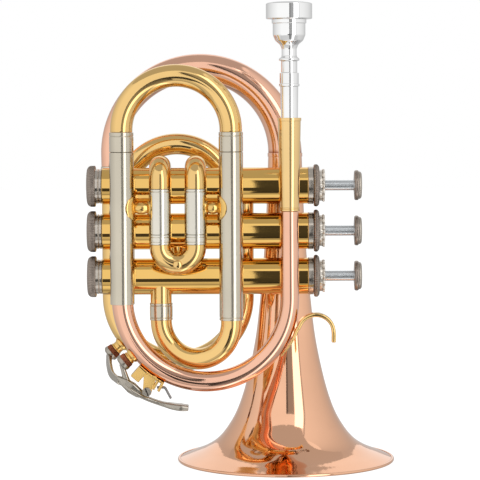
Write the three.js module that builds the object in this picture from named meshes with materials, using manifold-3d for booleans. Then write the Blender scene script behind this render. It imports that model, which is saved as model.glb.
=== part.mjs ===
// Pocket trumpet standing on the rim of its bell. Millimetres, +Z up.
// X runs along the valves towards the finger buttons, Y runs from the front slides back to the bell,
// Z runs up from the plane of the bell rim to the mouthpiece.
// While the model is built, X is measured from the bell axis and Y from the plane of the valves.
import * as THREE from 'three';
import { mergeVertices } from 'three/addons/utils/BufferGeometryUtils.js';
import Module from 'manifold-3d';

const wasm = await Module();
wasm.setup();

// Clearances that many pieces share
const seam = 0.3;
const slideClearance = 0.3;
const cutOverrun = 6;
const mergeDistance = 0.001;

// Faceting, in counts
const tubeSides = 12;
const turnedSides = 16;
const bellSides = 32;
const bowSteps = 5;
const bendSteps = 3;
const wireSides = 4;

// Bell
const bellRimDiameter = 123.4;
const bellLength = 174.2;
const bellThroatDiameter = 19;
const bellWall = 0.8;
const rimBeadRadius = 0.9;
// height up the bell, and radius gained from throat to rim, both as shares of the whole
const bellFlareShares = [
  [1, 0], [0.828, 0.021], [0.657, 0.056], [0.525, 0.096], [0.394, 0.15], [0.261, 0.245],
  [0.168, 0.345], [0.107, 0.456], [0.064, 0.577], [0.036, 0.72], [0.016, 0.88],
];
const bellFlareSteps = 13;

// Valves
const valvePitch = 25.15;
const lowestValveHeight = 107.4;
const casingDiameter = 20.2;
const casingBore = 17.8;
const casingFootX = -101.9;
const casingLength = 114;
const casingRingDiameter = 20.8;
const casingRingLength = 2.9;
const knuckleDiameter = 11.5;
const lowerKnuckleFromFoot = 41.9;
const upperKnuckleFromFoot = 51.9;

// Valve caps
const bottomCapNeckDiameter = 19.2;
const bottomCapNeckLength = 3.5;
const bottomCapDiameter = 22.8;
const bottomCapLength = 4.7;
const bottomCapChamfer = 0.9;
const bottomCapFloor = 1.5;
const bottomCapVentDiameter = 4.6;
const capSpigotLength = 1.2;
const topCapFlangeDiameter = 23.4;
const topCapFlangeLength = 3;
const topCapHubDiameter = 16.8;
const topCapLipDiameter = 18.3;
const topCapLipLength = 0.8;
const topCapLength = 6.1;
const topCapRoof = 1.6;
const capWall = 1.6;

// Pistons, springs, stems and finger buttons
const pistonLength = 96.5;
const pistonHeadGap = 2.4;
const passageDiameter = 9.6;
const springRecessDepth = 12;
const springRecessDiameter = 13.6;
const springDiameter = 11.4;
const springWireDiameter = 1;
const springTurns = 5;
const springStepsPerTurn = 8;
const stemDiameter = 5.7;
const stemThreadDiameter = 3.6;
const stemThreadLength = 7;
const valveStroke = 15.9;
const buttonFlangeDiameter = 16.7;
const buttonFlangeLength = 2.5;
const buttonTopDiameter = 13.5;
const buttonTopLength = 1.9;

// Leadpipe side, all in the plane in front of the valves
const frontClearance = 0.75;
const leadpipeX = 1.5;
const leadpipeBowRadius = 45.9;
const leadpipeBowDrop = 10.8;
const leadpipeNarrowDiameter = 9.8;
const leadpipeWideDiameter = 11.8;
const tubeBore = 8.4;
const receiverDrop = 13.3;
const receiverLength = 50.9;
const receiverFootDiameter = 10.6;
const receiverTopDiameter = 12.5;
const receiverBandDiameter = 13.1;
const receiverBandLength = 1.7;
const receiverRingDiameter = 11.2;
const receiverRingLength = 2;
const receiverMouthDiameter = 10.5;
const receiverBoreFootDiameter = 9.8;
const receiverBoreLength = 31;

// Main tuning slide and its sleeves
const tuningBowRadius = 29.9;
const tuningSleeveDiameter = 13.3;
const tuningSleeveBore = 12.6;
const leadpipeInsertion = 3.1;
const tuningSleeveRise = 19;
const tuningFerruleLength = 10.7;
const tuningLegClearance = 18.4;
const slideTubeWall = 0.6;
const tuningCrookDiameter = 12.3;
const tuningCrookRise = 0.7;

// Tubing from the tuning slide into the lowest valve
const inletFromFoot = 32.3;
const inletDepth = 3;
const inletTubeLength = 3.7;
const inletBowStraight = 1.1;
const inletFerruleLength = 9.5;
const inletFerruleDiameter = 12.7;
const inletTubeDiameter = 11.8;
const ferruleBore = 10.2;

// First valve slide
const firstSlideFromFoot = 42.15;
const firstSlideSpacing = 19.5;
const firstSlideClearance = 1.15;
const returnTubeDiameter = 11.9;
const firstSleeveDrop = 1.1;
const firstSleeveLength = 24.6;
const smallSleeveDiameter = 12.1;
const smallSleeveBore = 11.4;
const smallFerruleLength = 5.4;
const smallCrookDiameter = 11.6;
const smallCrookDrop = 0.8;
const firstLegClearance = 2.9;
const pullKnobDiameter = 5.4;
const pullKnobLength = 2.2;

// Second valve slide
const secondSleeveEndDepth = 24.8;
const secondLegClearance = 3;

// Third valve slide
const thirdSlideFromFoot = 40.9;
const thirdBowRadius = 30;
const thirdSlideClearance = 0.5;
const thirdTubeDiameter = 11.8;
const thirdSleeveLength = 24;
const thirdCrookStraight = 13.6;

// Bell tail and the bow over the top
const tailBowDrop = 13.45;
const tailInset = 3.9;
const tailClearance = 0.719;
const tailBowRadius = 37.05;
const tailTubeDiameter = 12;
const tailElbowRadius = 11;
const tailOutletTurns = 0.114;
const bellBowStraight = 6.2;
const tailFerruleLength = 11.5;
const tailFerruleDiameter = 12.8;
const bellBowNarrowDiameter = 12.2;

// Mouthpiece, from its rim down
const mouthpieceStandOut = 62.9;
const mouthpieceInsertion = 25.1;
const mouthpieceRimDiameter = 25.2;
const mouthpieceRimLength = 9.2;
const mouthpieceRimEdge = 1.2;
const mouthpieceStepDiameter = 18.9;
const mouthpieceCupDiameter = 17.8;
const mouthpieceStepLength = 2.4;
const mouthpieceCupLength = 6.7;
const mouthpieceTaperLength = 5.7;
const mouthpieceNeckDiameter = 8.2;
const mouthpieceNeckLength = 5.2;
const mouthpieceCollarTaperLength = 1.4;
const mouthpieceCollarDiameter = 11.2;
const mouthpieceCollarLength = 1.3;
const mouthpieceWaistDiameter = 8.8;
const mouthpieceWaistLength = 6.5;
const mouthpieceBarrelDiameter = 10.4;
const mouthpieceBarrelLength = 6;
const mouthpieceBeadLength = 1.4;
const mouthpieceShankDiameter = 9.8;
const mouthpieceShankEndDiameter = 8.8;
const cupMouthDiameter = 16.6;
const cupDepth = 11;
const throatDiameter = 4.2;
const throatLength = 4;
const backboreDiameter = 7.4;
const cupShares = [1, 0.75, 0.5, 0.25, 0];

// Braces
const frontBraceDrop = 11.5;
const braceRodDiameter = 4.6;
const braceFlangeDiameter = 12.6;
const smallBraceFlangeDiameter = 8;
const braceFlangeThickness = 1.3;
const bellBraceX = 1.2;
const receiverBraceDiameter = 7;

// How deep a piece soldered to the outside of a tube reaches round it
const solderDepth = 0.9;

// Pinky hook, a strip that lies on the outside of the leadpipe bow
const hookWidth = 7;
const hookThickness = 2.4;
const hookFootStartTurns = -0.103;
const hookFootEndTurns = -0.052;
const hookFootSteps = 3;
const hookArcStartTurns = 0.46;
const hookArcSteps = 6;
const hookRadius = 9.8;
const hookSetOff = 14.2;
const hookDrop = 19;
const hookTipDrop = 5.6;
const hookSteps = 20;

// Water key, with places round a bow given in turns from the side of the finger buttons
const nippleDiameter = 7.4;
const nippleBore = 5.2;
const frontNippleTurns = -0.3956;
const frontNippleReach = 1.9;
const rearNippleTurns = -0.3889;
const rearNippleReach = 3.4;
const corkDiameter = 8.4;
const corkThickness = 3;
const keyCupDiameter = 9;
const keyCupThickness = 2;
const pivotTurns = -0.3409;
const pivotReach = 8.4;
const pivotPinDiameter = 2.2;
const pivotHeadDiameter = 5;
const pivotHeadLength = 1.2;
const hubDiameter = 5.2;
const hubLength = 5;
const lugThickness = 1.8;
const lugWidth = 4.6;
const saddleStartTurns = -0.373;
const saddleEndTurns = -0.331;
const saddleSteps = 3;
const saddleThickness = 1.6;
const saddlePostReach = 6.6;
const saddlePostWidth = 5.4;
const springPostReach = 5;
const springPostWidth = 2.6;
const keySpringDiameter = 1;
const keySpringRun = 4.4;
const keySpringDropX = 3.3;
const keySpringDrop = 6.2;
const leverWidth = 8;
const leverThickness = 2.2;
const thumbPadDiameter = 10;
const leverReach = 9.9;
const leverArcShift = 7.6;
const leverArcRise = 1.6;
const leverStartTurns = -0.361;
const leverArmTurns = -0.347;
const leverEndTurns = -0.254;
const leverSteps = 10;
const leverArmDiameter = 4;
// how far along the way to the rear cup each bend of the arm lies, and how far out of that way
const rearArmShares = [0.31, 0.69];
const rearArmOutsets = [[3, 2], [4.9, 0.9]];
const rearArmSteps = 5;

// Heights and places that follow from the sizes above
const valveHeights = [
  lowestValveHeight + valvePitch * 2,
  lowestValveHeight + valvePitch,
  lowestValveHeight,
];
const [firstValveHeight, secondValveHeight, thirdValveHeight] = valveHeights;
const casingRadius = casingDiameter / 2;
const casingHeadX = casingFootX + casingLength + casingRingLength;
const lowerKnuckleX = casingFootX + lowerKnuckleFromFoot;
const upperKnuckleX = casingFootX + upperKnuckleFromFoot;
const inletX = casingFootX + inletFromFoot;
const firstSlideX = casingFootX + firstSlideFromFoot;
const thirdSlideX = casingFootX + thirdSlideFromFoot;
const tailX = casingFootX + tailInset;
const tailBowHeight = thirdValveHeight - tailBowDrop;
const leadpipeBowHeight = thirdValveHeight - leadpipeBowDrop;
const receiverFootHeight = firstValveHeight - receiverDrop;
const frontBraceHeight = firstValveHeight - frontBraceDrop;
const tuningSleeveTopHeight = firstValveHeight + tuningSleeveRise;
const tailFerruleHeadHeight = bellLength - bellBowStraight;
const tailFerruleFootHeight = tailFerruleHeadHeight - tailFerruleLength;
const inletFerruleHeadHeight = thirdValveHeight - casingRadius - seam * 2 - inletTubeLength;
const inletFerruleFootHeight = inletFerruleHeadHeight - inletFerruleLength;
const leftSleeveFootHeight = leadpipeBowHeight - leadpipeInsertion;
const rightSleeveFootHeight = inletFerruleFootHeight + inletBowStraight;
const tuningLegLength = tuningSleeveTopHeight + seam - leadpipeBowHeight - tuningLegClearance;
const firstSleeveTopHeight = firstValveHeight - firstSleeveDrop;
const firstLegLength = firstSleeveLength + seam - firstLegClearance;
const secondLegLength = secondSleeveEndDepth + seam - casingRadius - secondLegClearance;
const thirdSleeveTopHeight = thirdValveHeight + thirdSleeveLength;
const leftSleeveX = leadpipeX - leadpipeBowRadius * 2;
const rightSleeveX = leftSleeveX + tuningBowRadius * 2;
const frontDepth = casingRadius + tuningSleeveDiameter / 2 + frontClearance;
const frontY = -frontDepth;
const firstSlideDepth = casingRadius + smallSleeveDiameter / 2 + firstSlideClearance;
const thirdSlideDepth = casingRadius + thirdTubeDiameter / 2 + thirdSlideClearance;
// the bell tail lies as close behind the third slide as their sideways distance lets it
const tailSpacing = (thirdTubeDiameter + tailTubeDiameter) / 2 + tailClearance;
const bellDepth = thirdSlideDepth + Math.sqrt(tailSpacing ** 2 - (thirdSlideX - thirdBowRadius - tailX) ** 2);
const pistonDiameter = casingBore - slideClearance * 2;
const pistonHeadX = casingHeadX - pistonHeadGap;
const pistonFootX = pistonHeadX - pistonLength;
const bottomCapX = casingFootX - seam;
const bottomCapEndX = bottomCapX - bottomCapNeckLength - bottomCapLength;
const topCapX = casingHeadX + seam;
const buttonX = topCapX + topCapLength + valveStroke + seam;
const capRecessDiameter = pistonDiameter - capWall * 2;

// Materials
const metal = (colour, roughness) => new THREE.MeshStandardMaterial({
  color: colour,
  roughness,
  metalness: 1,
});
const yellowBrass = metal('#d9a94f', 0.18);
const roseBrass = metal('#d48f72', 0.18);
const nickel = metal('#bdb8ac', 0.22);
const darkNickel = metal('#8f877d', 0.3);
const silver = metal('#e6e6e4', 0.12);
const springSteel = metal('#8c8f93', 0.35);
const cork = new THREE.MeshStandardMaterial({ color: '#8a4a32', roughness: 0.9, metalness: 0 });

// Turns any geometry into an indexed one without doubled points, with its faces pointing out
function tidyMesh(geometry) {
  const bare = geometry.index ? geometry.toNonIndexed() : geometry.clone();
  for (const name of Object.keys(bare.attributes)) {
    if (name !== 'position') bare.deleteAttribute(name);
  }
  const merged = mergeVertices(bare, mergeDistance);
  const corners = merged.index.array;
  const points = merged.attributes.position;
  const kept = [];
  let volume = 0;
  const a = new THREE.Vector3();
  const b = new THREE.Vector3();
  const c = new THREE.Vector3();
  for (let i = 0; i < corners.length; i += 3) {
    const [p, q, r] = [corners[i], corners[i + 1], corners[i + 2]];
    if (p === q || q === r || r === p) continue;
    kept.push([p, q, r]);
    a.fromBufferAttribute(points, p);
    b.fromBufferAttribute(points, q);
    c.fromBufferAttribute(points, r);
    volume += a.dot(b.cross(c));
  }
  if (volume < 0) kept.forEach((face) => face.reverse());
  merged.setIndex(kept.flat());
  return merged;
}

function toSolid(geometry) {
  const mesh = tidyMesh(geometry);
  return new wasm.Manifold(new wasm.Mesh({
    numProp: 3,
    vertProperties: new Float32Array(mesh.attributes.position.array),
    triVerts: new Uint32Array(mesh.index.array),
  }));
}

function toGeometry(solid) {
  const mesh = solid.getMesh();
  const geometry = new THREE.BufferGeometry();
  geometry.setAttribute('position', new THREE.BufferAttribute(new Float32Array(mesh.vertProperties), 3));
  geometry.setIndex(new THREE.BufferAttribute(new Uint32Array(mesh.triVerts), 1));
  return geometry;
}

function cut(geometry, ...tools) {
  return toGeometry(tools.reduce((solid, tool) => solid.subtract(toSolid(tool)), toSolid(geometry)));
}

function join(geometry, ...others) {
  return toGeometry(others.reduce((solid, other) => solid.add(toSolid(other)), toSolid(geometry)));
}

// Turned work: radius and height pairs, spun about Z
function turned(profile, sides = turnedSides) {
  const points = profile.map(([radius, height]) => new THREE.Vector2(radius, height));
  return new THREE.LatheGeometry(points, sides).rotateX(Math.PI / 2);
}

// The same, but spun about X, for everything on a valve's axis
function turnedAlongX(profile, sides = turnedSides) {
  return turned(profile, sides).rotateY(Math.PI / 2);
}

// A closed ring profile for a straight tube from one height to another
function sleeveProfile(outerRadius, boreRadius, foot, head) {
  return [
    [boreRadius, foot],
    [outerRadius, foot],
    [outerRadius, head],
    [boreRadius, head],
    [boreRadius, foot],
  ];
}

// A solid round bar between two points
function bar(from, to, diameter, sides = tubeSides) {
  const along = to.clone().sub(from);
  const geometry = new THREE.CylinderGeometry(diameter / 2, diameter / 2, along.length(), sides);
  const direction = along.clone().normalize();
  const turn = new THREE.Quaternion().setFromUnitVectors(new THREE.Vector3(0, 1, 0), direction);
  const middle = from.clone().lerp(to, 0.5);
  return geometry.applyQuaternion(turn).translate(middle.x, middle.y, middle.z);
}

// A bar along X through a valve, a little larger than its casing, for cutting tubes to its side
function casingCutter(height) {
  const reach = casingLength + casingRingLength + cutOverrun * 2;
  const radius = casingRadius + seam;
  const profile = [[0, 0], [radius, 0], [radius, reach], [0, reach]];
  return turnedAlongX(profile).translate(casingFootX - cutOverrun, 0, height);
}

const at = (x, y, z) => new THREE.Vector3(x, y, z);

// Stations along straight runs joined by round bends. Each corner between the ends has its bend's radius.
function bentPath(corners, radii, steps = bowSteps) {
  const stations = [{ point: corners[0], along: corners[1].clone().sub(corners[0]).normalize() }];
  for (let i = 1; i < corners.length - 1; i += 1) {
    const arriving = corners[i].clone().sub(corners[i - 1]).normalize();
    const leaving = corners[i + 1].clone().sub(corners[i]).normalize();
    const radius = radii[i - 1];
    const start = corners[i].clone().addScaledVector(arriving, -radius);
    const centre = start.clone().addScaledVector(leaving, radius);
    for (let step = 0; step <= steps; step += 1) {
      const angle = Math.PI / 2 * step / steps;
      stations.push({
        point: centre.clone()
          .addScaledVector(leaving, -radius * Math.cos(angle))
          .addScaledVector(arriving, radius * Math.sin(angle)),
        along: arriving.clone().multiplyScalar(Math.cos(angle)).addScaledVector(leaving, Math.sin(angle)),
      });
    }
  }
  const last = corners[corners.length - 1];
  stations.push({ point: last, along: last.clone().sub(corners[corners.length - 2]).normalize() });
  return stations.filter((station, i) => i === 0
    || station.point.distanceTo(stations[i - 1].point) > mergeDistance);
}

// Stations at given points, each facing half way between its neighbours
function pathThrough(points) {
  return points.map((point, i) => ({
    point,
    along: points[Math.min(i + 1, points.length - 1)].clone().sub(points[Math.max(i - 1, 0)]).normalize(),
  }));
}

// A tube along stations. Its outside may widen evenly from the first diameter to the second.
// Without a bore it is a solid rod.
function pipe(stations, startDiameter, boreDiameter, endDiameter = startDiameter, sides = tubeSides) {
  const lengths = [0];
  stations.slice(1).forEach((station, i) => {
    lengths.push(lengths[i] + station.point.distanceTo(stations[i].point));
  });
  const whole = lengths[lengths.length - 1];
  const first = stations[0].along;
  const side = Math.abs(first.y) < Math.abs(first.x) + Math.abs(first.z) ? at(0, 1, 0) : at(1, 0, 0);
  let across = side.addScaledVector(first, -side.dot(first)).normalize();
  const rings = stations.map((station, i) => {
    across = across.clone().addScaledVector(station.along, -across.dot(station.along)).normalize();
    const up = station.along.clone().cross(across);
    const share = lengths[i] / whole;
    const outer = (startDiameter + (endDiameter - startDiameter) * share) / 2;
    const bore = boreDiameter / 2 * outer / (startDiameter / 2);
    const ring = (radius) => Array.from({ length: sides }, (_, k) => {
      const angle = Math.PI * 2 * k / sides;
      return station.point.clone()
        .addScaledVector(across, radius * Math.cos(angle))
        .addScaledVector(up, radius * Math.sin(angle));
    });
    return { outer: ring(outer), bore: ring(bore) };
  });
  const corners = [];
  const band = (from, to) => {
    for (let k = 0; k < sides; k += 1) {
      const next = (k + 1) % sides;
      corners.push(from[k], from[next], to[next], from[k], to[next], to[k]);
    }
  };
  rings.slice(1).forEach((ring, i) => {
    band(rings[i].outer, ring.outer);
    band(ring.bore, rings[i].bore);
  });
  band(rings[0].bore, rings[0].outer);
  band(rings[rings.length - 1].outer, rings[rings.length - 1].bore);
  return new THREE.BufferGeometry().setFromPoints(corners);
}

// A flat strip bent along a curve in a plane that holds X and Z, with its width along Y
function strip(curve, width, thickness, steps) {
  const section = new THREE.Shape();
  section.moveTo(-width / 2, -thickness / 2);
  section.lineTo(width / 2, -thickness / 2);
  section.lineTo(width / 2, thickness / 2);
  section.lineTo(-width / 2, thickness / 2);
  section.closePath();
  return new THREE.ExtrudeGeometry(section, { steps, extrudePath: curve, bevelEnabled: false });
}

// A point at a radius and a turn round a centre, in a plane that holds X and Z
function onCircle(centreX, centreHeight, radius, turns, y = frontY) {
  const angle = turns * Math.PI * 2;
  return at(centreX + radius * Math.cos(angle), y, centreHeight + radius * Math.sin(angle));
}

const trumpet = new THREE.Group();
const instrument = new THREE.Group();
const middleX = (bottomCapEndX + bellRimDiameter / 2) / 2;
instrument.position.set(-middleX, -bellDepth, 0);
trumpet.add(instrument);

function place(name, geometry, material) {
  const mesh = new THREE.Mesh(tidyMesh(geometry), material);
  mesh.name = name;
  instrument.add(mesh);
}

// Outline of the bell's flare, from the throat down to the rim
const throatRadius = bellThroatDiameter / 2;
const flareRadius = bellRimDiameter / 2 - rimBeadRadius - throatRadius;
const bellFlare = new THREE.SplineCurve([
  ...bellFlareShares.map(([heightShare, radiusShare]) => new THREE.Vector2(
    throatRadius + flareRadius * radiusShare,
    rimBeadRadius + (bellLength - rimBeadRadius) * heightShare,
  )),
  new THREE.Vector2(throatRadius + flareRadius, rimBeadRadius + bellWall / 2),
]);
const bellShares = Array.from({ length: bellFlareSteps + 1 }, (_, i) => i / bellFlareSteps);
const bellOutside = bellShares.map((share) => bellFlare.getPoint(share));

// Bell: a flared wall of even thickness with a rolled bead round its rim
function bellGeometry() {
  const beadTop = rimBeadRadius * 2;
  const outside = bellOutside;
  const inside = bellShares.map((share, i) => {
    const along = bellFlare.getTangent(share);
    return outside[i].clone().add(new THREE.Vector2(along.y, -along.x).multiplyScalar(bellWall));
  });
  inside[0].y = outside[0].y;
  inside[inside.length - 1].y = 0;
  const rimRadius = bellRimDiameter / 2;
  const bead = [
    [rimRadius - rimBeadRadius / 2, beadTop],
    [rimRadius, rimBeadRadius],
    [rimRadius - rimBeadRadius / 3, 0],
  ];
  const profile = [
    ...outside.map((point) => [point.x, point.y]),
    ...bead,
    ...inside.reverse().map((point) => [point.x, point.y]),
  ];
  profile.push(profile[0]);
  return turned(profile, bellSides).translate(0, bellDepth, 0);
}

place('bell', bellGeometry(), roseBrass);

// The bow over the top, from the tail ferrule round to the bell throat
const bellBowRadius = -tailX / 2;
const bellBowTop = bellLength + seam + bellBowRadius;
place('bell_bow', pipe(
  bentPath(
    [
      at(tailX, bellDepth, tailFerruleHeadHeight + seam),
      at(tailX, bellDepth, bellBowTop),
      at(0, bellDepth, bellBowTop),
      at(0, bellDepth, bellLength + seam),
    ],
    [bellBowRadius, bellBowRadius],
  ),
  bellBowNarrowDiameter,
  ferruleBore,
  bellThroatDiameter,
), roseBrass);

// Bell tail: out of the back of the first valve, down, round the bottom and up to its ferrule
const tailStartX = tailX + tailBowRadius * 2;
const tailBottom = tailBowHeight - tailBowRadius;
const tailOutletAngle = tailOutletTurns * Math.PI * 2;
const tailOutletX = tailStartX + bellDepth * Math.tan(tailOutletAngle);
const tailPath = bentPath(
  [
    at(tailOutletX, 0, firstValveHeight),
    at(tailStartX, bellDepth, firstValveHeight),
    at(tailStartX, bellDepth, tailBottom),
    at(tailX, bellDepth, tailBottom),
    at(tailX, bellDepth, tailFerruleFootHeight - seam),
  ],
  [tailElbowRadius, tailBowRadius, tailBowRadius],
);
place('bell_tail', cut(
  pipe(tailPath, tailTubeDiameter, ferruleBore),
  casingCutter(firstValveHeight),
), yellowBrass);
place('bell_tail_ferrule', turned(sleeveProfile(
  tailFerruleDiameter / 2,
  ferruleBore / 2,
  tailFerruleFootHeight,
  tailFerruleHeadHeight,
)).translate(tailX, bellDepth, 0), nickel);

// Mouthpiece, turned in one piece and free to lift out of its receiver
function mouthpieceGeometry() {
  const top = receiverFootHeight + receiverLength + mouthpieceStandOut;
  const foot = top - mouthpieceStandOut - mouthpieceInsertion;
  const shoulder = mouthpieceRimEdge;
  // each length with the diameters at its upper and lower end
  const lengths = [
    [mouthpieceRimLength - shoulder, mouthpieceRimDiameter, mouthpieceRimDiameter],
    [mouthpieceStepLength, mouthpieceStepDiameter, mouthpieceStepDiameter],
    [mouthpieceCupLength, mouthpieceCupDiameter, mouthpieceCupDiameter],
    [mouthpieceTaperLength, mouthpieceCupDiameter, mouthpieceNeckDiameter],
    [mouthpieceNeckLength, mouthpieceNeckDiameter, mouthpieceNeckDiameter],
    [mouthpieceCollarTaperLength, mouthpieceNeckDiameter, mouthpieceCollarDiameter],
    [mouthpieceCollarLength, mouthpieceCollarDiameter, mouthpieceCollarDiameter],
    [mouthpieceWaistLength, mouthpieceWaistDiameter, mouthpieceWaistDiameter],
    [mouthpieceBarrelLength, mouthpieceBarrelDiameter, mouthpieceBarrelDiameter],
    [mouthpieceBeadLength, mouthpieceCollarDiameter, mouthpieceCollarDiameter],
  ];
  const outside = [[mouthpieceRimDiameter / 2 - shoulder, top]];
  let height = top - shoulder;
  for (const [length, upperDiameter, lowerDiameter] of lengths) {
    outside.push([upperDiameter / 2, height]);
    height -= length;
    outside.push([lowerDiameter / 2, height]);
  }
  outside.push([mouthpieceShankDiameter / 2, height], [mouthpieceShankEndDiameter / 2, foot]);
  const bowl = (share) => [
    throatDiameter / 2 + (cupMouthDiameter - throatDiameter) / 2 * Math.cos(share * Math.PI / 2),
    top - cupDepth * Math.sin(share * Math.PI / 2),
  ];
  const inside = [
    [backboreDiameter / 2, foot],
    [throatDiameter / 2, top - cupDepth - throatLength],
    ...cupShares.map(bowl),
  ];
  return turned([...outside, ...inside, outside[0]]).translate(leadpipeX, frontY, 0);
}

place('mouthpiece', mouthpieceGeometry(), silver);

// Receiver: a tapered holder with a band at its mouth and a ring where the leadpipe joins
function receiverGeometry() {
  const foot = receiverFootHeight;
  const head = receiverFootHeight + receiverLength;
  const profile = [
    [tubeBore / 2, foot],
    [receiverRingDiameter / 2, foot],
    [receiverRingDiameter / 2, foot + receiverRingLength],
    [receiverFootDiameter / 2, foot + receiverRingLength],
    [receiverTopDiameter / 2, head - receiverBandLength],
    [receiverBandDiameter / 2, head - receiverBandLength],
    [receiverBandDiameter / 2, head],
    [receiverMouthDiameter / 2, head],
    [receiverBoreFootDiameter / 2, head - receiverBoreLength],
    [tubeBore / 2, head - receiverBoreLength],
  ];
  profile.push(profile[0]);
  return turned(profile).translate(leadpipeX, frontY, 0);
}

place('mouthpiece_receiver', receiverGeometry(), yellowBrass);

// Leadpipe: straight down from the receiver and round the big bow into the left sleeve
const leadpipePath = bentPath(
  [
    at(leadpipeX, frontY, receiverFootHeight - seam),
    at(leadpipeX, frontY, leadpipeBowHeight - leadpipeBowRadius),
    at(leftSleeveX, frontY, leadpipeBowHeight - leadpipeBowRadius),
    at(leftSleeveX, frontY, leadpipeBowHeight),
  ],
  [leadpipeBowRadius, leadpipeBowRadius],
);
const legDiameter = tuningSleeveBore - slideClearance * 2;
const leadpipeSeat = turned(sleeveProfile(
  tuningSleeveDiameter,
  legDiameter / 2,
  leftSleeveFootHeight - seam,
  leadpipeBowHeight + cutOverrun,
)).translate(leftSleeveX, frontY, 0);
place(
  'leadpipe',
  cut(pipe(leadpipePath, leadpipeNarrowDiameter, tubeBore, leadpipeWideDiameter), leadpipeSeat),
  roseBrass,
);

// Main tuning slide: two fixed sleeves, two legs with their ferrules, and the crook over the top
const legBore = legDiameter - slideTubeWall * 2;
function tuningSleeve(footHeight) {
  return turned(sleeveProfile(
    tuningSleeveDiameter / 2,
    tuningSleeveBore / 2,
    footHeight,
    tuningSleeveTopHeight,
  ));
}

// An inner slide tube with a ferrule at its outer end. The ferrule starts at height zero and points up.
function slideLeg(legOuter, ferruleOuter, ferruleLength, insertedLength) {
  const bore = legOuter / 2 - slideTubeWall;
  return turned([
    [bore, -insertedLength],
    [legOuter / 2, -insertedLength],
    [legOuter / 2, 0],
    [ferruleOuter / 2, 0],
    [ferruleOuter / 2, ferruleLength],
    [bore, ferruleLength],
    [bore, -insertedLength],
  ]);
}

const tuningFerruleTop = tuningSleeveTopHeight + seam + tuningFerruleLength;
const tuningSides = {
  left: [leftSleeveX, leftSleeveFootHeight],
  right: [rightSleeveX, rightSleeveFootHeight],
};
for (const [side, [x, footHeight]] of Object.entries(tuningSides)) {
  place(`tuning_sleeve_${side}`, tuningSleeve(footHeight).translate(x, frontY, 0), nickel);
  const leg = slideLeg(legDiameter, tuningSleeveDiameter, tuningFerruleLength, tuningLegLength);
  place(`tuning_slide_leg_${side}`, leg.translate(x, frontY, tuningSleeveTopHeight + seam), nickel);
}
const tuningCrookTop = tuningFerruleTop + seam + tuningCrookRise + tuningBowRadius;
place('tuning_slide_crook', pipe(
  bentPath(
    [
      at(leftSleeveX, frontY, tuningFerruleTop + seam),
      at(leftSleeveX, frontY, tuningCrookTop),
      at(rightSleeveX, frontY, tuningCrookTop),
      at(rightSleeveX, frontY, tuningFerruleTop + seam),
    ],
    [tuningBowRadius, tuningBowRadius],
  ),
  tuningCrookDiameter,
  legBore,
), yellowBrass);

// Inlet: from the right sleeve under the valves and up into the lowest one
const inletY = -inletDepth;
const inletSpan = Math.hypot(rightSleeveX - inletX, frontY - inletY) / 2;
place('inlet_bow', pipe(
  bentPath(
    [
      at(rightSleeveX, frontY, rightSleeveFootHeight - seam),
      at(rightSleeveX, frontY, inletFerruleFootHeight - seam - inletSpan),
      at(inletX, inletY, inletFerruleFootHeight - seam - inletSpan),
      at(inletX, inletY, inletFerruleFootHeight - seam),
    ],
    [inletSpan, inletSpan],
  ),
  inletTubeDiameter,
  ferruleBore,
), yellowBrass);
place('inlet_ferrule', turned(sleeveProfile(
  inletFerruleDiameter / 2,
  ferruleBore / 2,
  inletFerruleFootHeight,
  inletFerruleHeadHeight,
)).translate(inletX, inletY, 0), nickel);
place('inlet_tube', cut(pipe(
  bentPath(
    [
      at(inletX, inletY, inletFerruleHeadHeight + seam),
      at(inletX, inletY, thirdValveHeight),
    ],
    [],
  ),
  inletTubeDiameter,
  ferruleBore,
), casingCutter(thirdValveHeight)), yellowBrass);

// First valve slide, in front: return bends over the top of the casing, sleeves, and the small crook
const firstSlideY = -firstSlideDepth;
const firstReturnRadius = firstSlideDepth / 2;
const smallLegDiameter = smallSleeveBore - slideClearance * 2;
const smallLegBore = smallLegDiameter - slideTubeWall * 2;
const returnRise = casingRadius + seam + smallCrookDrop;
const firstSleeveFoot = firstSleeveTopHeight - firstSleeveLength;
const slideSides = { left: -1, right: 1 };
for (const [side, sign] of Object.entries(slideSides)) {
  const x = firstSlideX + sign * firstSlideSpacing / 2;
  const bend = pipe(
    bentPath(
      [
        at(x, 0, firstValveHeight),
        at(x, 0, firstValveHeight + returnRise),
        at(x, firstSlideY, firstValveHeight + returnRise),
        at(x, firstSlideY, firstSleeveTopHeight + seam),
      ],
      [firstReturnRadius, firstReturnRadius],
      bendSteps,
    ),
    returnTubeDiameter,
    ferruleBore,
  );
  place(`first_slide_bend_${side}`, cut(bend, casingCutter(firstValveHeight)), yellowBrass);
  place(`first_slide_sleeve_${side}`, turned(sleeveProfile(
    smallSleeveDiameter / 2,
    smallSleeveBore / 2,
    firstSleeveFoot,
    firstSleeveTopHeight,
  )).translate(x, firstSlideY, 0), nickel);
}

// A slide's legs hang from height zero down into their sleeves, and its crook stands on them.
function crookOn(spacing, straight, tubeDiameter, steps) {
  const radius = spacing / 2;
  const foot = smallFerruleLength;
  const top = foot + straight + radius;
  return pipe(
    bentPath(
      [at(-radius, 0, foot), at(-radius, 0, top), at(radius, 0, top), at(radius, 0, foot)],
      [radius, radius],
      steps,
    ),
    tubeDiameter,
    smallLegBore,
  );
}

// The crook and both legs as one brazed piece
function wholeSlide(spacing, straight, insertedLength, tubeDiameter, steps) {
  const leg = () => slideLeg(smallLegDiameter, smallSleeveDiameter, smallFerruleLength, insertedLength);
  return join(
    crookOn(spacing, straight, tubeDiameter, steps),
    leg().translate(-spacing / 2, 0, 0),
    leg().translate(spacing / 2, 0, 0),
  );
}

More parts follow.
